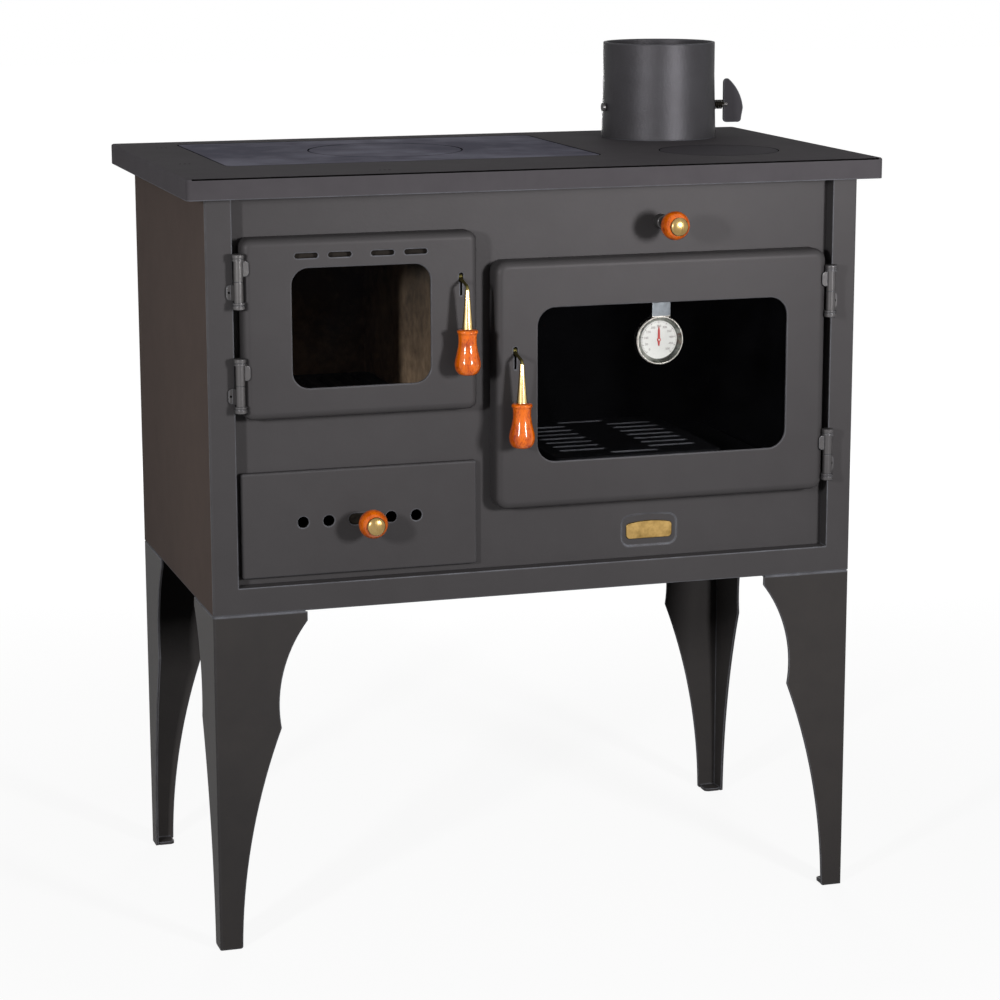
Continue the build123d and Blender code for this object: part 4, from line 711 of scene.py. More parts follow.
@dataclass(frozen=True)
class GroundIron(TwoToned):
    """Machine-ground cast iron: metal with a blue-grey skin, cloudy, with faint grinding lines."""

    roughness: float
    smoother: float = 0.06
    rougher: float = 0.1
    line_roughness: float = 0.08
    metallic: float = 0.55
    depth: float = 0.1 * MM
    specular: float = 0.08

    def dress(self, canvas: Canvas, effects: Effects) -> None:
        """Cloudy colour and roughness, and lines across the piece.

        Args:
            canvas: The new material's tree.
            effects: The shared node groups.
        """
        tone = self.mottled(canvas, effects, clouds=7.0, blotch_scale=26.0, blotches=0.9)
        lines = canvas.effect(effects.brushed, Stretch=(0.06, 1.0, 1.0), Scale=700.0)
        cloudy = canvas.between(tone["Mask"], self.roughness + self.rougher,
                                self.roughness - self.smoother)
        rough = canvas.plus(cloudy, canvas.between(lines["Mask"], 0.0, self.line_roughness))
        canvas.dress(Base_Color=tone["Color"], Roughness=rough, Metallic=self.metallic,
                     Specular_IOR_Level=self.specular)
        pits = canvas.noise(scale=420.0, detail=4.0, roughness=0.6)
        canvas.bump(canvas.plus(lines["Height"], pits), self.depth)


@dataclass(frozen=True)
class BareMetal(TwoToned):
    """Brass or steel: polished or brushed metal with a little tarnish as its dark tone."""

    roughness: float
    line_roughness: float = 0.09
    stretch: Point = (1.0, 1.0, 0.08)
    depth: float = 0.02 * MM

    def dress(self, canvas: Canvas, effects: Effects) -> None:
        """Tarnish in the colour, and fine lines in the roughness and the normal.

        Args:
            canvas: The new material's tree.
            effects: The shared node groups.
        """
        tone = self.mottled(canvas, effects, clouds=45.0, blotch_scale=240.0, blotches=0.5)
        lines = canvas.effect(effects.brushed, Stretch=self.stretch, Scale=700.0)
        rough = canvas.between(lines["Mask"], self.roughness, self.roughness + self.line_roughness)
        canvas.dress(Base_Color=tone["Color"], Roughness=rough, Metallic=1.0)
        canvas.bump(lines["Height"], self.depth)


@dataclass(frozen=True)
class LacqueredWood(TwoToned):
    """Turned hardwood, stained amber under a glossy lacquer."""

    roughness: float = 0.32
    pore_roughness: float = 0.12
    depth: float = 0.04 * MM

    def dress(self, canvas: Canvas, effects: Effects) -> None:
        """Growth bands and pores under a clear coat.

        Args:
            canvas: The new material's tree.
            effects: The shared node groups.
        """
        grain = canvas.effect(effects.grain, **self.tones())
        rough = canvas.spread(grain["Height"], low=0.3, high=0.7, new_low=self.roughness,
                              new_high=self.roughness + self.pore_roughness)
        canvas.dress(Base_Color=grain["Color"], Roughness=rough, Specular_IOR_Level=0.1,
                     Coat_Weight=1.0, Coat_Roughness=0.05, Coat_IOR=1.36)
        canvas.bump(grain["Height"], self.depth, strength=0.6)


@dataclass(frozen=True)
class StoveGlass(Finish):
    """Ceramic stove glass: a thin clear pane that smoke has dimmed a little in places."""

    tint: Colour
    clear: float = 0.05
    dimmed: float = 0.12

    def dress(self, canvas: Canvas, effects: Effects) -> None:
        """A clear pane with soft patches of smoke.

        Args:
            canvas: The new material's tree.
            effects: The shared node groups. Not used.
        """
        smoke = canvas.noise(scale=22.0, detail=5.0, roughness=0.6)
        alpha = canvas.spread(smoke, low=0.4, high=0.75, new_low=self.clear, new_high=self.dimmed)
        canvas.dress(Alpha=alpha, Base_Color=opaque(self.tint), Roughness=0.1,
                     Specular_IOR_Level=0.0)


@dataclass(frozen=True)
class FireBrick(TwoToned):
    """Pressed fire clay: pale, gritty, and blackened by soot towards its top."""

    soot: Tone
    soot_low: float
    soot_high: float
    lick: float = 0.12
    depth: float = 0.4 * MM

    def dress(self, canvas: Canvas, effects: Effects) -> None:
        """Gritty clay with soot that thickens upwards in licks.

        Args:
            canvas: The new material's tree.
            effects: The shared node groups.
        """
        tone = self.mottled(canvas, effects, clouds=12.0, blotch_scale=90.0, blotches=0.9)
        height = canvas.add("ShaderNodeSeparateXYZ", {0: canvas.place}).outputs["Z"]
        licks = canvas.noise(scale=16.0, detail=5.0, roughness=0.6)
        reach = canvas.plus(height, canvas.times(licks, self.lick))
        sooted = canvas.spread(reach, self.soot_low, self.soot_high)
        colour = canvas.blend(sooted, tone["Color"], srgb(self.soot))
        canvas.dress(Base_Color=colour, Roughness=0.95)
        grit = canvas.noise(scale=900.0, detail=4.0, roughness=0.7)
        canvas.bump(grit, self.depth)


@dataclass(frozen=True)
class KnittedRope(TwoToned):
    """Knitted glass-fibre rope: pale strands that cross on a slant."""

    pitch: float = 420.0
    slant: float = 0.8
    lean: float = 0.3
    depth: float = 0.6 * MM

    def dress(self, canvas: Canvas, effects: Effects) -> None:
        """Two slanted sets of waves, crossed, for colour and height.

        Args:
            canvas: The new material's tree.
            effects: The shared node groups. Not used.
        """
        waves = []
        for turn in (self.slant, -self.slant):
            tilt = {"Vector": canvas.place, "Rotation": (0.0, turn, self.lean)}
            slanted = canvas.add("ShaderNodeMapping", tilt).outputs[0]
            wave = {"Vector": slanted, "Scale": self.pitch, "Distortion": 1.0}
            waves.append(canvas.add("ShaderNodeTexWave", wave).outputs["Fac"])
        knit = canvas.maths("MAXIMUM", *waves)
        colour = canvas.blend(knit, srgb(self.dark), srgb(self.light))
        canvas.dress(Base_Color=colour, Roughness=0.9)
        canvas.bump(knit, self.depth)


@dataclass(frozen=True)
class PlainEnamel(Finish):
    """Smooth enamel or ink: one colour with a faint speckle."""

    tone: Tone
    roughness: float = 0.35
    smoother: float = 0.03
    rougher: float = 0.05
    fading: float = 0.9

    def dress(self, canvas: Canvas, effects: Effects) -> None:
        """A fine speckle in colour and roughness.

        Args:
            canvas: The new material's tree.
            effects: The shared node groups. Not used.
        """
        speck = canvas.noise(scale=1800.0, detail=2.0, roughness=0.5)
        colour = srgb(self.tone)
        faded = tuple(channel * self.fading for channel in colour)
        rough = canvas.spread(speck, low=0.3, high=0.7, new_low=self.roughness - self.smoother,
                              new_high=self.roughness + self.rougher)
        canvas.dress(Base_Color=canvas.blend(speck, faded, colour), Roughness=rough)


MATT = {"roughness": 0.8, "specular": 0.05}
FINISHES = (
    StovePaint("front_paint", (72, 70, 71), (67, 65, 66), 0.48, metallic=0.16, depth=0.07 * MM),
    # The sides' paint is the front's, made lighter and browner: painted warm reflection on the
    # sides.
    StovePaint("side_paint", (84, 73, 68), (73, 63, 59), **MATT),
    StovePaint("hob_paint", (79, 76, 79), (69, 66, 69), dust=0.03, **MATT),
    StovePaint("door_paint", (70, 68, 69), (65, 63, 64), 0.47, metallic=0.2, depth=0.05 * MM),
    StovePaint("cover_paint", (66, 63, 67), (54, 52, 56), **MATT),
    StovePaint("leg_paint", (67, 64, 63), (59, 57, 57), 0.6, specular=0.1),
    StovePaint("collar_paint", (70, 69, 72), (58, 56, 58), 0.42, grit=1.4, metallic=0.48),
    StovePaint("handle_paint", (72, 70, 74), (60, 58, 61), 0.55),
    StovePaint("hinge_paint", (98, 96, 96), (80, 78, 79), 0.32, metallic=0.5, edge=0.6 * MM),
    # Near black: the enamel's own dark colour, deepened as painted shade inside the closed oven.
    StovePaint("oven_enamel", (9, 9, 10), (5, 5, 6), 0.6, specular=0.0, edge=0.0),
    StovePaint("tray_enamel", (34, 34, 36), (22, 22, 24), 0.4, specular=0.1, metallic=0.4),
    StovePaint("sooty_steel", (46, 42, 39), (24, 22, 21), 0.75, dust=0.1, edge=0.0),
    # Black for weld spots and rivets, and for the bands of painted shade and painted dark
    # reflection on the hob.
    StovePaint("black_marks_and_shade", (12, 11, 11), (7, 7, 7), 0.9, specular=0.0, edge=0.0),
    GroundIron("ground_iron", (120, 119, 134), (92, 91, 105), 0.75, metallic=0.0),
    GroundIron("rough_iron", (60, 57, 56), (36, 33, 32), 0.7, depth=0.5 * MM),
    BareMetal("brass", (166, 140, 92), (140, 114, 68), 0.22),
    BareMetal("dull_brass", (92, 86, 48), (60, 54, 30), 0.5),
    BareMetal("polished_brass", (220, 194, 140), (206, 176, 118), 0.2),
    BareMetal("badge_brass", (158, 130, 80), (104, 82, 44), 0.36, stretch=(0.1, 1.0, 1.0)),
    BareMetal("steel", (196, 192, 186), (160, 156, 150), 0.22),
    BareMetal("cone_steel", (176, 178, 172), (52, 54, 48), 0.12),
    BareMetal("strap_steel", (106, 110, 114), (76, 79, 83), 0.45, stretch=(1.0, 1.0, 0.04)),
    BareMetal("black_steel", (52, 48, 42), (28, 26, 24), 0.5),
    LacqueredWood("lacquered_wood", (226, 106, 4), (148, 40, 2)),
    StoveGlass("stove_glass", (0.006, 0.006, 0.007)),
    FireBrick("fire_brick", (168, 142, 114), (112, 92, 72), (24, 22, 20), 0.56, 0.74),
    KnittedRope("knitted_rope", (150, 146, 136), (90, 86, 78)),
    PlainEnamel("dial_white", (226, 226, 222)),
    PlainEnamel("dial_ink", (112, 100, 98)),
    PlainEnamel("needle_red", (190, 34, 26)),
)
NODES_BY_FINISH = {
    "side_paint": "body_wrap bottom_panel",
    "front_paint": "front_frame front_panel drawer_front",
    "badge_brass": "badge_plate",
    "steel": "leg_bolts thermometer_case",
    "leg_paint": "leg_front_left leg_front_right leg_back_left leg_back_right",
    "hob_paint": "top_plate",
    "collar_paint": "flue_collar",
    "hinge_paint": "frame_knuckles hinge_pins bypass_bush damper_shaft",
    "black_steel": "latch_catches drawer_runners drawer_liner ash_pan air_slider_plate "
                   "bypass_damper damper_spring",
    "sooty_steel": "smoke_baffle firebox_shell damper_disc",
    "fire_brick": "fire_bricks",
    "rough_iron": "fire_grate",
    "oven_enamel": "oven_box",
    "tray_enamel": "oven_tray",
    "dial_white": "thermometer_dial",
    "needle_red": "thermometer_needle",
    "lacquered_wood": "air_knob_ball bypass_knob_ball",
    "brass": "air_knob_cap bypass_knob_cap",
    "handle_paint": "damper_handle",
    "ground_iron": "cooktop_plate cooktop_lid",
    "cover_paint": "flue_cover",
}
DOORS = ("fire", "oven")
FINISH_OF_DOOR_NODE = {
    "door_shell": "door_paint", "door_glass": "stove_glass", "glass_retainer": "sooty_steel",
    "door_gasket": "knitted_rope", "door_knuckles": "hinge_paint", "latch_bracket": "black_steel",
    "latch_lever": "dull_brass", "latch_ferrule": "brass", "latch_grip": "lacquered_wood",
}


class Palette:
    """Every finish of the stove, each built once."""

    def __init__(self) -> None:
        """Build the shared effects and then the finishes."""
        effects = Effects()
        self.made = {finish.name: finish.build(effects) for finish in FINISHES}

    def coat(self, piece: Piece, finish: str) -> None:
        """Give a piece one finish all over."""
        piece.data.materials.clear()
        piece.data.materials.append(self.made[finish])

    def coat_frame(self, nodes: dict[str, Piece]) -> None:
        """Coat every CAD node in its own slots, and stop where one has no finish.

        Args:
            nodes: Every CAD node by its name.
        """
        finish_of = {node: finish for finish, names in NODES_BY_FINISH.items()
                     for node in names.split()}
        for door in DOORS:
            finish_of |= {f"{door}_{node}": finish for node, finish in FINISH_OF_DOOR_NODE.items()}
        for name, node in nodes.items():
            finish = self.made[finish_of[name]]
            if not node.material_slots:
                node.data.materials.append(finish)
            for material_slot in node.material_slots:
                material_slot.material = finish
        LOG.info("%d CAD nodes coated", len(nodes))


# ---------------------------------------------------------------- the stove's pieces
@dataclass
class Workshop:
    """What every sub-assembly needs: the palette, and where the frame's nodes are."""

    palette: Palette

    def fit(self, piece: Piece, body: str, finish: str, slot: str, *stands_for: str) -> None:
        """Coat a new piece, hide the CAD nodes that it stands for and let it ride on its body.

        Args:
            piece: The new piece.
            body: Body that it rides on.
            finish: Name of its finish.
            slot: The record's material slot. Not used.
            *stands_for: CAD nodes that it stands for.
        """
        self.palette.coat(piece, finish)
        if stands_for:
            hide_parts(*stands_for)
        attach(piece, body)
        LOG.info("%s rides on %s", piece.name, body)

    @staticmethod
    def place(node: str) -> tuple[Vector, Vector, Vector]:
        """Lowest corner, highest corner and middle of a CAD node's box."""
        low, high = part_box(node)
        return low, high, (low + high) / 2


@dataclass
class FlueCollar:
    """Rolled steel collar: a parallel top that takes the pipe, a slight taper and a spigot."""

    wall: float = 3.0 * MM
    rim: float = 1.0 * MM
    spigot_depth: float = 10.0 * MM
    spigot_radius: float = 56.0 * MM
    top_straight: float = 34.0 * MM
    taper: float = 1.8 * MM
    foot_straight: float = 0.4 * MM
    seat_to_inner_bend: float = 6.0 * MM
    inner_bend_to_spigot: float = 8.0 * MM

    def build(self, shop: Workshop) -> None:
        """Turn the collar about its upright axis.

        Args:
            shop: The palette and the places of the frame's nodes.
        """
        low, high, middle = shop.place("flue_collar")
        foot = (high.x - low.x) / 2
        top = foot - self.taper
        inner_top, inner_spigot = top - self.wall, self.spigot_radius - self.wall
        seat, straight, rim = low.z + self.spigot_depth, high.z - self.top_straight, self.rim
        inner_bend = seat + self.seat_to_inner_bend
        outer = [(self.spigot_radius, low.z), (self.spigot_radius, seat), (foot, seat),
                 (foot, seat + self.foot_straight), (top, straight), (top, high.z - rim)]
        over = arc((top - rim, high.z - rim), rim, 0, 90, steps=4)[1:]
        under = arc((inner_top + rim, high.z - rim), rim, 90, 180, steps=4)
        inner = [(inner_top, straight), (foot - self.wall, inner_bend),
                 (inner_spigot, inner_bend - self.inner_bend_to_spigot), (inner_spigot, low.z),
                 (self.spigot_radius, low.z)]
        collar = turned("flue_collar_skin", np.concatenate([outer, over, under, inner]),
                        (middle.x, middle.y, 0.0), Axis.UP, steps=144)
        shop.fit(collar, "stove", "collar_paint", "black_paint", "flue_collar")


@dataclass
class LatchHandle:
    """Hanging handle of a door: a turned brass cone and a turned wooden grip on the lever's rod."""

    door: str
    cone_top: float = 2.1 * MM
    tip_round: float = 0.5 * MM
    cone_hollow: float = 0.25 * MM
    bead: float = 0.9 * MM
    shoulder_inset: float = 0.5 * MM
    shoulder_height: float = 2.2 * MM
    flange: float = 10.0 * MM
    flange_half: float = 2.0 * MM
    grip_shape: tuple[tuple[float, float], ...] = (
        (0.10, 8.9), (0.18, 8.6), (0.32, 8.7), (0.49, 10.0), (0.67, 11.8), (0.77, 12.3),
        (0.88, 11.5), (0.95, 9.9), (0.985, 8.2), (1.0, 6.6))

    def build(self, shop: Workshop) -> None:
        """Turn the cone and the grip about the rod's upright axis."""
        self._cone(shop)
        self._grip(shop)

    def _cone(self, shop: Workshop) -> None:
        """Slim cone that widens to a bead at its lower end.

        Args:
            shop: The palette and the places of the frame's nodes.
        """
        node = f"{self.door}_latch_ferrule"
        low, high, middle = shop.place(node)
        wide, tip = (high.x - low.x) / 2, self.tip_round
        tip_arc = arc((self.cone_top - tip, high.z - tip), tip, 90, 10, steps=4)
        side = [((self.cone_top + wide) / 2 - self.cone_hollow, middle.z),
                (wide - self.shoulder_inset, low.z + self.shoulder_height)]
        foot = arc((wide - self.bead, low.z + self.bead), self.bead, 60, -90, steps=8)
        profile = np.concatenate([[(0.0, high.z)], tip_arc, side, foot, [(0.0, low.z)]])
        centre = (middle.x, middle.y, 0.0)
        cone = turned(f"{self.door}_handle_cone", profile, centre, Axis.UP, steps=48)
        shop.fit(cone, f"{self.door}_latch", "polished_brass", "brass", node)

    def _grip(self, shop: Workshop) -> None:
        """Rounded flange, drawn-in neck, full belly low down and a small flat foot.

        Below the flange, a curve runs through knots of (share of the height from the top, radius
        in millimetres).

        Args:
            shop: The palette and the places of the frame's nodes.
        """
        node = f"{self.door}_latch_grip"
        low, high, middle = shop.place(node)
        half = self.flange_half
        flange = arc((self.flange - half, high.z - half), half, 90, -50, steps=12)
        share, radius = np.array(self.grip_shape).T
        knots = np.stack([radius * MM, high.z - share * (high.z - low.z)], axis=1)
        belly = smooth_curve(knots, steps=6)
        profile = np.concatenate([[(0.0, high.z)], flange, belly, [(0.0, low.z)]])
        centre = (middle.x, middle.y, 0.0)
        grip = turned(f"{self.door}_handle_grip", profile, centre, Axis.UP, steps=72)
        shop.fit(grip, f"{self.door}_latch", "lacquered_wood", "wood", node)


@dataclass
class BallKnob:
    """Turned wooden ball with a domed brass cap on its front."""

    name: str
    body: str
    radius: float = 13.8 * MM
    front_cut: float = 10.4 * MM
    back_cut: float = 12.3 * MM
    cap_edge: float = 0.6 * MM
    cap_fullness: float = 0.9

    def build(self, shop: Workshop) -> None:
        """Turn the ball and its cap about the stem's axis.

        Args:
            shop: The palette and the places of the frame's nodes.
        """
        low, _, middle = shop.place(f"{self.name}_ball")
        self._ball(shop, (middle.x, low.y + self.front_cut, middle.z))
        self._cap(shop, middle)

    def _ball(self, shop: Workshop, centre: Point) -> None:
        """Sphere with a flat front and back, its edges left sharp.

        Args:
            shop: The palette and the places of the frame's nodes.
            centre: Middle of the sphere.
        """
        front = math.degrees(math.asin(self.front_cut / self.radius))
        back = -math.degrees(math.asin(self.back_cut / self.radius))
        profile = np.concatenate([[(0.0, -self.back_cut)],
                                  arc((0.0, 0.0), self.radius, back, front, steps=36),
                                  [(0.0, self.front_cut)]])
        ball = turned(f"{self.name}_wood", profile, centre, Axis.FRONT, steps=72)
        shop.fit(ball, self.body, "lacquered_wood", "wood", f"{self.name}_ball")

    def _cap(self, shop: Workshop, middle: Vector) -> None:
        """Full dome on a thin straight edge.

        Args:
            shop: The palette and the places of the frame's nodes.
            middle: Middle of the ball's box.
        """
        low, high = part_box(f"{self.name}_cap")
        wide, tall = (high.x - low.x) / 2, high.y - low.y
        crown = dome(wide, tall - self.cap_edge, steps=20, fullness=self.cap_fullness)
        crown += [0.0, self.cap_edge]
        profile = np.concatenate([[(0.0, 0.0), (wide, 0.0)], crown, [(0.0, tall)]])
        centre = (middle.x, high.y, middle.z)
        cap = turned(f"{self.name}_dome", profile, centre, Axis.FRONT, steps=64)
        shop.fit(cap, self.body, "brass", "brass", f"{self.name}_cap")


@dataclass
class OvenThermometer:
    """Oven thermometer: polished cone and brushed strap over the CAD case, and the dial's print."""

    tick_count: int = 51
    sweep: float = 270.0
    number_every: int = 5
    number_step: int = 50
    number_height: float = 3.1 * MM
    number_circle: float = 13.2 * MM
    tick_reach: float = 18.0 * MM
    long_tick: float = 1.9 * MM
    long_tick_half: float = 0.3 * MM
    short_tick: float = 1.1 * MM
    short_tick_half: float = 0.16 * MM
    print_height: float = 0.08 * MM
    needle_gap: float = 0.3 * MM
    mouth: float = 22.4 * MM
    mouth_lip: float = 0.3 * MM
    mouth_behind_strap: float = 2.0 * MM
    cone_foot: float = 18.6 * MM
    cone_foot_width: float = 0.5 * MM
    cone_depth: float = 4.3 * MM
    cone_skin: float = 0.12 * MM
    strap_rise: float = 9.0 * MM
    strap_width: float = 18.6 * MM
    strap_corner: float = 0.3 * MM
    strap_skin: float = 0.12 * MM
    strap_ease: float = 0.2 * MM

    def build(self, shop: Workshop) -> None:
        """Line the case's mouth, face the strap, and print the dial on the front of its disc.

        Args:
            shop: The palette and the places of the frame's nodes.
        """
        _, _, middle = shop.place("thermometer_dial")
        _, needle_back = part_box("thermometer_needle")
        face = needle_back.y + self.needle_gap
        self._cone(shop, middle)
        self._strap(shop, middle)
        self._ticks(shop, middle, face)
        for number in range(0, self.tick_count, self.number_every):
            self._number(shop, middle, face, number)

    def _angle(self, tick: np.ndarray | int) -> np.ndarray | float:
        """Angle of a tick, anticlockwise from the right: the first is half the sweep left of up."""
        return np.radians(90.0 + self.sweep * (0.5 - tick / (self.tick_count - 1)))

    def _cone(self, shop: Workshop, middle: Vector) -> None:
        """Polished cone from the case's rim down to the dial, a closed ring.

        Args:
            shop: The palette and the places of the frame's nodes.
            middle: Middle of the dial.
        """
        low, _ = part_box("thermometer_case")
        wide, narrow, deep, skin = self.mouth, self.cone_foot, self.cone_depth, self.cone_skin
        profile = np.array([(wide, -skin), (wide - self.mouth_lip, skin), (narrow, -deep + skin),
                            (narrow, -deep), (narrow + self.cone_foot_width, -deep),
                            (wide, -skin)])
        front = (middle.x, low.y + self.mouth_behind_strap, middle.z)
        cone = turned("thermometer_cone", profile, front, Axis.FRONT, steps=96)
        shop.fit(cone, "oven_door", "cone_steel", "bright_steel")

    def _strap(self, shop: Workshop, middle: Vector) -> None:
        """Brushed face of the strap, from the case up to the window's edge, with eased edges.

        Args:
            shop: The palette and the places of the frame's nodes.
            middle: Middle of the dial.
        """
        low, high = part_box("thermometer_case")
        foot = low.z + 2 * (middle.z - low.z)
        top = high.z - self.strap_rise - self.strap_corner
        tall, wide, corner, ease = top - foot, self.strap_width, self.strap_corner, self.strap_ease
        stations = [(wide - ease / 2, tall, corner, corner), (wide, tall, corner, 0.0),
                    (wide - ease, tall - ease, corner, -self.strap_skin)]
        rows = outline_rows((middle.x, low.y, (foot + top) / 2), stations, Axis.FRONT,
                            corner_steps=10, side_steps=6)
        strap = grid_surface("thermometer_strap", rows, Ends.CLOSED)
        shop.fit(strap, "oven_door", "strap_steel", "bright_steel")

    def _ticks(self, shop: Workshop, middle: Vector, face: float) -> None:
        """Ticks round the dial, each a thin raised bar, longer at each number.

        Args:
            shop: The palette and the places of the frame's nodes.
            middle: Middle of the dial.
            face: Depth of the dial's front.
        """
        tick = np.arange(self.tick_count)
        angle, long = self._angle(tick), (tick % self.number_every) == 0
        inner = self.tick_reach - np.where(long, self.long_tick, self.short_tick)
        half = np.where(long, self.long_tick_half, self.short_tick_half)
        out = np.stack([np.cos(angle), np.sin(angle)], axis=1)
        side = np.stack([-np.sin(angle), np.cos(angle)], axis=1)
        near, far, wide = inner[:, None] * out, self.tick_reach * out, half[:, None] * side
        corners = np.stack([near - wide, near + wide, far + wide, far - wide], axis=1)
        layers = [np.stack([middle.x + corners[..., 0], np.full(corners.shape[:2], depth),
                            middle.z + corners[..., 1]], axis=-1)
                  for depth in (face, face - self.print_height)]
        box = np.concatenate(layers, axis=1)
        sides = np.array([[0, 1, 2, 3], [4, 7, 6, 5], [0, 4, 5, 1], [1, 5, 6, 2], [2, 6, 7, 3],
                          [3, 7, 4, 0]])
        faces = ((tick * box.shape[1])[:, None, None] + sides).reshape(-1, 4).tolist()
        ticks = link_mesh("dial_ticks", box.reshape(-1, 3), faces)
        shop.fit(ticks, "oven_door", "dial_ink", "dial")

    def _number(self, shop: Workshop, middle: Vector, face: float, tick: int) -> None:
        """Plain number of one long tick, inside it.

        Args:
            shop: The palette and the places of the frame's nodes.
            middle: Middle of the dial.
            face: Depth of the dial's front.
            tick: Which tick, from 0.
        """
        number = tick // self.number_every
        name = f"dial_number_{number}"
        curve = bpy.data.curves.new(name, "FONT")
        curve.body = str(number * self.number_step)
        curve.size = self.number_height
        curve.align_x = curve.align_y = "CENTER"
        curve.extrude = self.print_height / 2
        drawn = add_piece("drawn", curve)
        bpy.context.view_layer.update()
        graph = bpy.context.evaluated_depsgraph_get()
        mesh = bpy.data.meshes.new_from_object(drawn.evaluated_get(graph))
        bpy.data.objects.remove(drawn)
        angle, reach = self._angle(tick), self.number_circle
        spot = Vector((middle.x + reach * math.cos(angle), face - self.print_height / 2,
                       middle.z + reach * math.sin(angle)))
        mesh.transform(Matrix.Translation(spot) @ Matrix.Rotation(QUARTER, 4, "X"))
        shop.fit(add_piece(name, mesh), "oven_door", "dial_ink", "dial")


@dataclass
class HingeRivets:
    """Small domed rivets in the hinge leaves on the stiles."""

    drops: tuple[tuple[str, float, float], ...] = (("fire", 38.35 * MM, 34.25 * MM),
                                                   ("oven", 41.15 * MM, 35.65 * MM))
    leaf_fall: float = 10.65 * MM
    from_tip: float = 2.3 * MM
    leaf_front: float = 2.2 * MM
    radius: float = 1.1 * MM
    rise: float = 0.5 * MM
    sunk: float = 0.2 * MM

    def build(self, shop: Workshop) -> None:
        """Turn one rivet for each leaf, below each door's top and above its foot.

        Args:
            shop: The palette and the places of the frame's nodes.
        """
        tips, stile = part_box("frame_knuckles"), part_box("front_frame")[0].y
        profile = np.concatenate([[(0.0, -self.sunk), (self.radius, -self.sunk)],
                                  dome(self.radius, self.rise, steps=6), [(0.0, self.rise)]])
        for door, top_drop, foot_rise in self.drops:
            low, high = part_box(f"{door}_door_shell")
            across = tips[0].x + self.from_tip if door == "fire" else tips[1].x - self.from_tip
            for name, height in (("upper", high.z - top_drop), ("lower", low.z + foot_rise)):
                centre = (across, stile - self.leaf_front, height - self.leaf_fall)
                rivet = turned(f"{door}_{name}_rivet", profile, centre, Axis.FRONT, steps=20)
                shop.fit(rivet, "stove", "black_marks_and_shade", "black_paint")


@dataclass
class HobTraces:
    """Weld spots on the hob, a painted dark reflection along its front fold, and painted shade in
    the gaps round its holes.
    """

    spots: tuple[tuple[float, float], ...] = ((-0.3077, 0.1429), (-0.3195, -0.0356),
                                              (-0.1538, -0.1534))
    in_a_row: int = 3
    pitch: float = 4.6 * MM
    radius: float = 1.3 * MM
    crown_radius: float = 1.04 * MM
    sunk: float = 0.02 * MM
    rise: float = 0.05 * MM
    lip: float = 0.5 * MM
    lip_depth: float = 0.8 * MM
    plate_gap: float = 1.5 * MM
    plate_corner: float = 8.0 * MM
    lid_gap: float = 1.0 * MM
    cover_gap: float = 0.6 * MM
    fold: float = 2.0 * MM
    line_start: float = 168.0
    line_end: float = 118.0
    line_inset: float = 5.0 * MM

    def build(self, shop: Workshop) -> None:
        """Lay the spots on the hob's top, the painted dark reflection on its front fold and the
        bands of painted shade at its holes.

        Args:
            shop: The palette and the places of the frame's nodes.
        """
        low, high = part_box("top_plate")
        profile = np.array([(0.0, -self.sunk), (self.radius, -self.sunk),
                            (self.crown_radius, self.rise), (0.0, self.rise)])
        for group, (place_x, place_y) in enumerate(self.spots):
            for number in range(self.in_a_row):
                centre = (place_x + number * self.pitch, place_y, high.z)
                spot = turned(f"weld_spot_{group}_{number}", profile, centre, Axis.UP, steps=14)
                self._lay_black_mark(shop, spot)
        self._line(shop, low, high)
        self._frame(shop)
        self._ring(shop, "cooktop_lid", "plate", self.lid_gap, "lid_gap_shade")
        self._ring(shop, "flue_cover", "stove", self.cover_gap, "cover_gap_shade")

    @staticmethod
    def _lay_black_mark(shop: Workshop, piece: Piece, body: str = "stove") -> None:
        """Fit a black mark: the weld spots, and the bands of painted shade and painted dark
        reflection.
        """
        shop.fit(piece, body, "black_marks_and_shade", "black_paint")

    def _section(self) -> list[tuple[float, float]]:
        """Corners of a lip's section as (distance out from the hole's edge, height)."""
        out, down, up = self.lip, -self.lip_depth, self.rise
        return [(-out, down), (out, down), (out, up), (-out, up), (-out, down)]

    def _ring(self, shop: Workshop, node: str, body: str, gap: float, name: str) -> None:
        """Band of painted shade in the gap round the hole that a round piece lies in, a closed
        ring.

        Args:
            shop: The palette and the places of the frame's nodes.
            node: The round piece.
            body: Body that the lip rides on.
            gap: Play between the piece and its hole.
            name: Name of the lip.
        """
        low, high, middle = shop.place(node)
        hole = (high.x - low.x) / 2 + gap
        profile = np.array(self._section()) + [hole, 0.0]
        ring = turned(name, profile, (middle.x, middle.y, high.z), Axis.UP, steps=120)
        self._lay_black_mark(shop, ring, body)

    def _frame(self, shop: Workshop) -> None:
        """Band of painted shade in the gap round the hole that the cast plate lies in: outlines
        joined into a closed ring.

        Args:
            shop: The palette and the places of the frame's nodes.
        """
        low, high, middle = shop.place("cooktop_plate")
        stations = []
        for out, level in self._section():
            wider = self.plate_gap + out
            stations.append((high.x - low.x + 2 * wider, high.y - low.y + 2 * wider,
                             self.plate_corner + wider, level))
        rows = outline_rows((middle.x, middle.y, high.z), stations, Axis.UP,
                            corner_steps=6, side_steps=1)
        self._lay_black_mark(shop, grid_surface("plate_gap_shade", rows))

    def _line(self, shop: Workshop, low: Vector, high: Vector) -> None:
        """Thin band of painted dark reflection that follows the fold's arc, carried straight along
        the hob's front.

        Args:
            shop: The palette and the places of the frame's nodes.
            low: Lowest corner of the hob's box.
            high: Highest corner of the hob's box.
        """
        centre = (low.y + self.fold, high.z - self.fold)
        start, end = self.line_start, self.line_end
        section = np.concatenate([arc(centre, self.fold + self.rise, start, end, steps=6),
                                  arc(centre, self.fold - self.rise, end, start, steps=6)])
        grid = np.array([np.column_stack([np.full(len(section), edge), section])
                         for edge in (low.x + self.line_inset, high.x - self.line_inset)])
        self._lay_black_mark(shop, grid_surface("hob_fold_dark_reflection", grid, Ends.CLOSED))


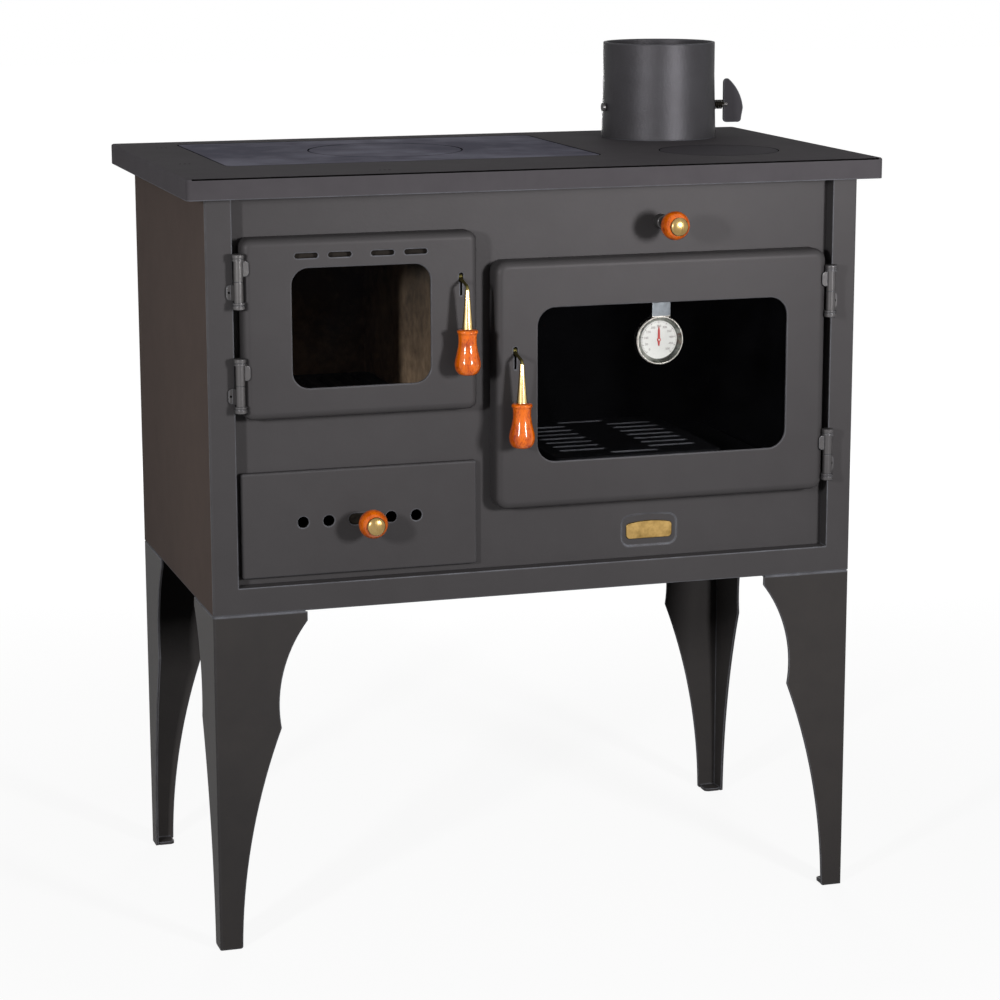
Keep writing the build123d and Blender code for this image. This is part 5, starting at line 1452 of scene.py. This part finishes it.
# ---------------------------------------------------------------- studio
@dataclass(frozen=True)
class SoftLamp:
    """One lamp: a rectangle of light, its place, what it faces, its sides in metres, its power."""

    name: str
    place: Point
    target: Point
    sides: tuple[float, float]
    power: float
    spread: float = 180.0

    def build(self) -> None:
        """Hang the lamp, which isn't itself in the picture."""
        data = bpy.data.lights.new(self.name, "AREA")
        data.shape = "RECTANGLE"
        data.size, data.size_y = self.sides
        data.energy = self.power
        data.spread = math.radians(self.spread)
        lamp = add_piece(self.name, data)
        lamp.location = self.place
        lamp.rotation_mode = "QUATERNION"
        aim = Vector(self.target) - Vector(self.place)
        lamp.rotation_quaternion = aim.to_track_quat("-Z", "Y")
        lamp.visible_camera = False


@dataclass
class Studio:
    """Plain studio: a white floor, four soft lamps and the photograph's camera."""

    camera_place: Point = (-0.85986, -2.79942, 1.00451)
    turned_right: float = 0.3014
    tipped_down: float = 0.2071
    rolled: float = -0.0017
    lens: float = 105.52
    sensor: float = 36.0
    sight: float = 50.0
    world_strength: float = 0.085
    floor_half: float = 14.0
    floor_colour: Colour = (0.12, 0.12, 0.12)
    floor_near: float = 0.9
    white_from: float = 0.5
    white_at: float = 2.2
    lamps: tuple[SoftLamp, ...] = (
        SoftLamp("key_lamp", (0.62, -1.75, 0.86), (0.16, -0.2, 0.72), (0.2, 0.28), 7.0, 92.0),
        SoftLamp("fill_lamp", (-1.6, -1.6, 1.0), (-0.15, 0.0, 0.68), (0.15, 0.24), 11.0, 120.0),
        SoftLamp("top_lamp", (-0.5, 1.9, 2.1), (0.0, 0.0, 0.6), (1.2, 0.8), 2.3),
        SoftLamp("rear_lamp", (0.7, 2.3, 0.36), (0.0, 0.2, 0.42), (0.9, 0.6), 30.0),
    )

    def build(self) -> None:
        """Set the camera, the world, the floor and the lamps."""
        self._camera()
        self._world()
        self._floor()
        for lamp in self.lamps:
            lamp.build()

    def _camera(self) -> None:
        """Camera at the photograph's place, turned, tipped and rolled in that order."""
        data = bpy.data.cameras.new("camera")
        data.lens = self.lens
        data.sensor_width = self.sensor
        data.clip_end = self.sight
        camera = add_piece("camera", data)
        camera.matrix_world = (Matrix.Translation(self.camera_place)
                               @ Matrix.Rotation(-self.turned_right, 4, "Z")
                               @ Matrix.Rotation(QUARTER - self.tipped_down, 4, "X")
                               @ Matrix.Rotation(self.rolled, 4, "Z"))
        bpy.context.scene.camera = camera

    @staticmethod
    def _seen(sheet: Sheet) -> Socket:
        """1 for what the camera sees, straight, reflected or through glass, 0 for plain light.

        Args:
            sheet: The tree that asks.

        Returns:
            The value.
        """
        rays = sheet.add("ShaderNodeLightPath").outputs
        straight = sheet.maths("MAXIMUM", rays["Is Camera Ray"], rays["Is Glossy Ray"])
        return sheet.maths("MAXIMUM", straight, rays["Is Transmission Ray"])

    def _world(self) -> None:
        """Even light from all round, which is white where it is seen."""
        world = bpy.data.worlds.new("studio")
        bpy.context.scene.world = world
        world.use_nodes = True
        world.node_tree.nodes.clear()
        sheet = Sheet(world.node_tree)
        strength = sheet.between(self._seen(sheet), self.world_strength, 1.0)
        light = sheet.add("ShaderNodeBackground", {"Color": opaque((1.0, 1.0, 1.0)),
                                                   "Strength": strength})
        sheet.add("ShaderNodeOutputWorld", {0: light.outputs[0]})

    def _floor(self) -> None:
        """Wide pale floor that runs out to white, and keeps the stove's shadow close to it."""
        corners = np.array([(-1, -1, 0), (1, -1, 0), (1, 1, 0), (-1, 1, 0)]) * self.floor_half
        floor = link_mesh("floor", corners, [[0, 1, 2, 3]])
        canvas = Canvas("pale_floor")
        distance = canvas.add("ShaderNodeVectorMath", {0: canvas.place},
                              operation="LENGTH").outputs["Value"]
        glow = canvas.spread(distance, self.white_from, self.white_at, self.floor_near)
        canvas.dress(Base_Color=opaque(self.floor_colour), Roughness=0.9, Specular_IOR_Level=0.0,
                     Emission_Strength=1.0, Emission_Color=canvas.times(glow, self._seen(canvas)))
        floor.data.materials.append(canvas.material)


def main() -> None:
    """Load the frame, build every sub-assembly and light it."""
    logging.basicConfig(level=logging.INFO, format="%(name)s: %(message)s")
    bpy.ops.wm.read_factory_settings(use_empty=True)
    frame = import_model()
    bpy.context.scene.view_settings.view_transform = "Standard"
    shop = Workshop(Palette())
    shop.palette.coat_frame(frame["nodes"])
    handles = [LatchHandle(door) for door in DOORS]
    knobs = [BallKnob("air_knob", "air_slider"), BallKnob("bypass_knob", "bypass")]
    for part in (FlueCollar(), *handles, *knobs, OvenThermometer(), HingeRivets(), HobTraces()):
        part.build(shop)
        LOG.info("%s is built", type(part).__name__)
    Studio().build()


if __name__ == "__main__":
    main()
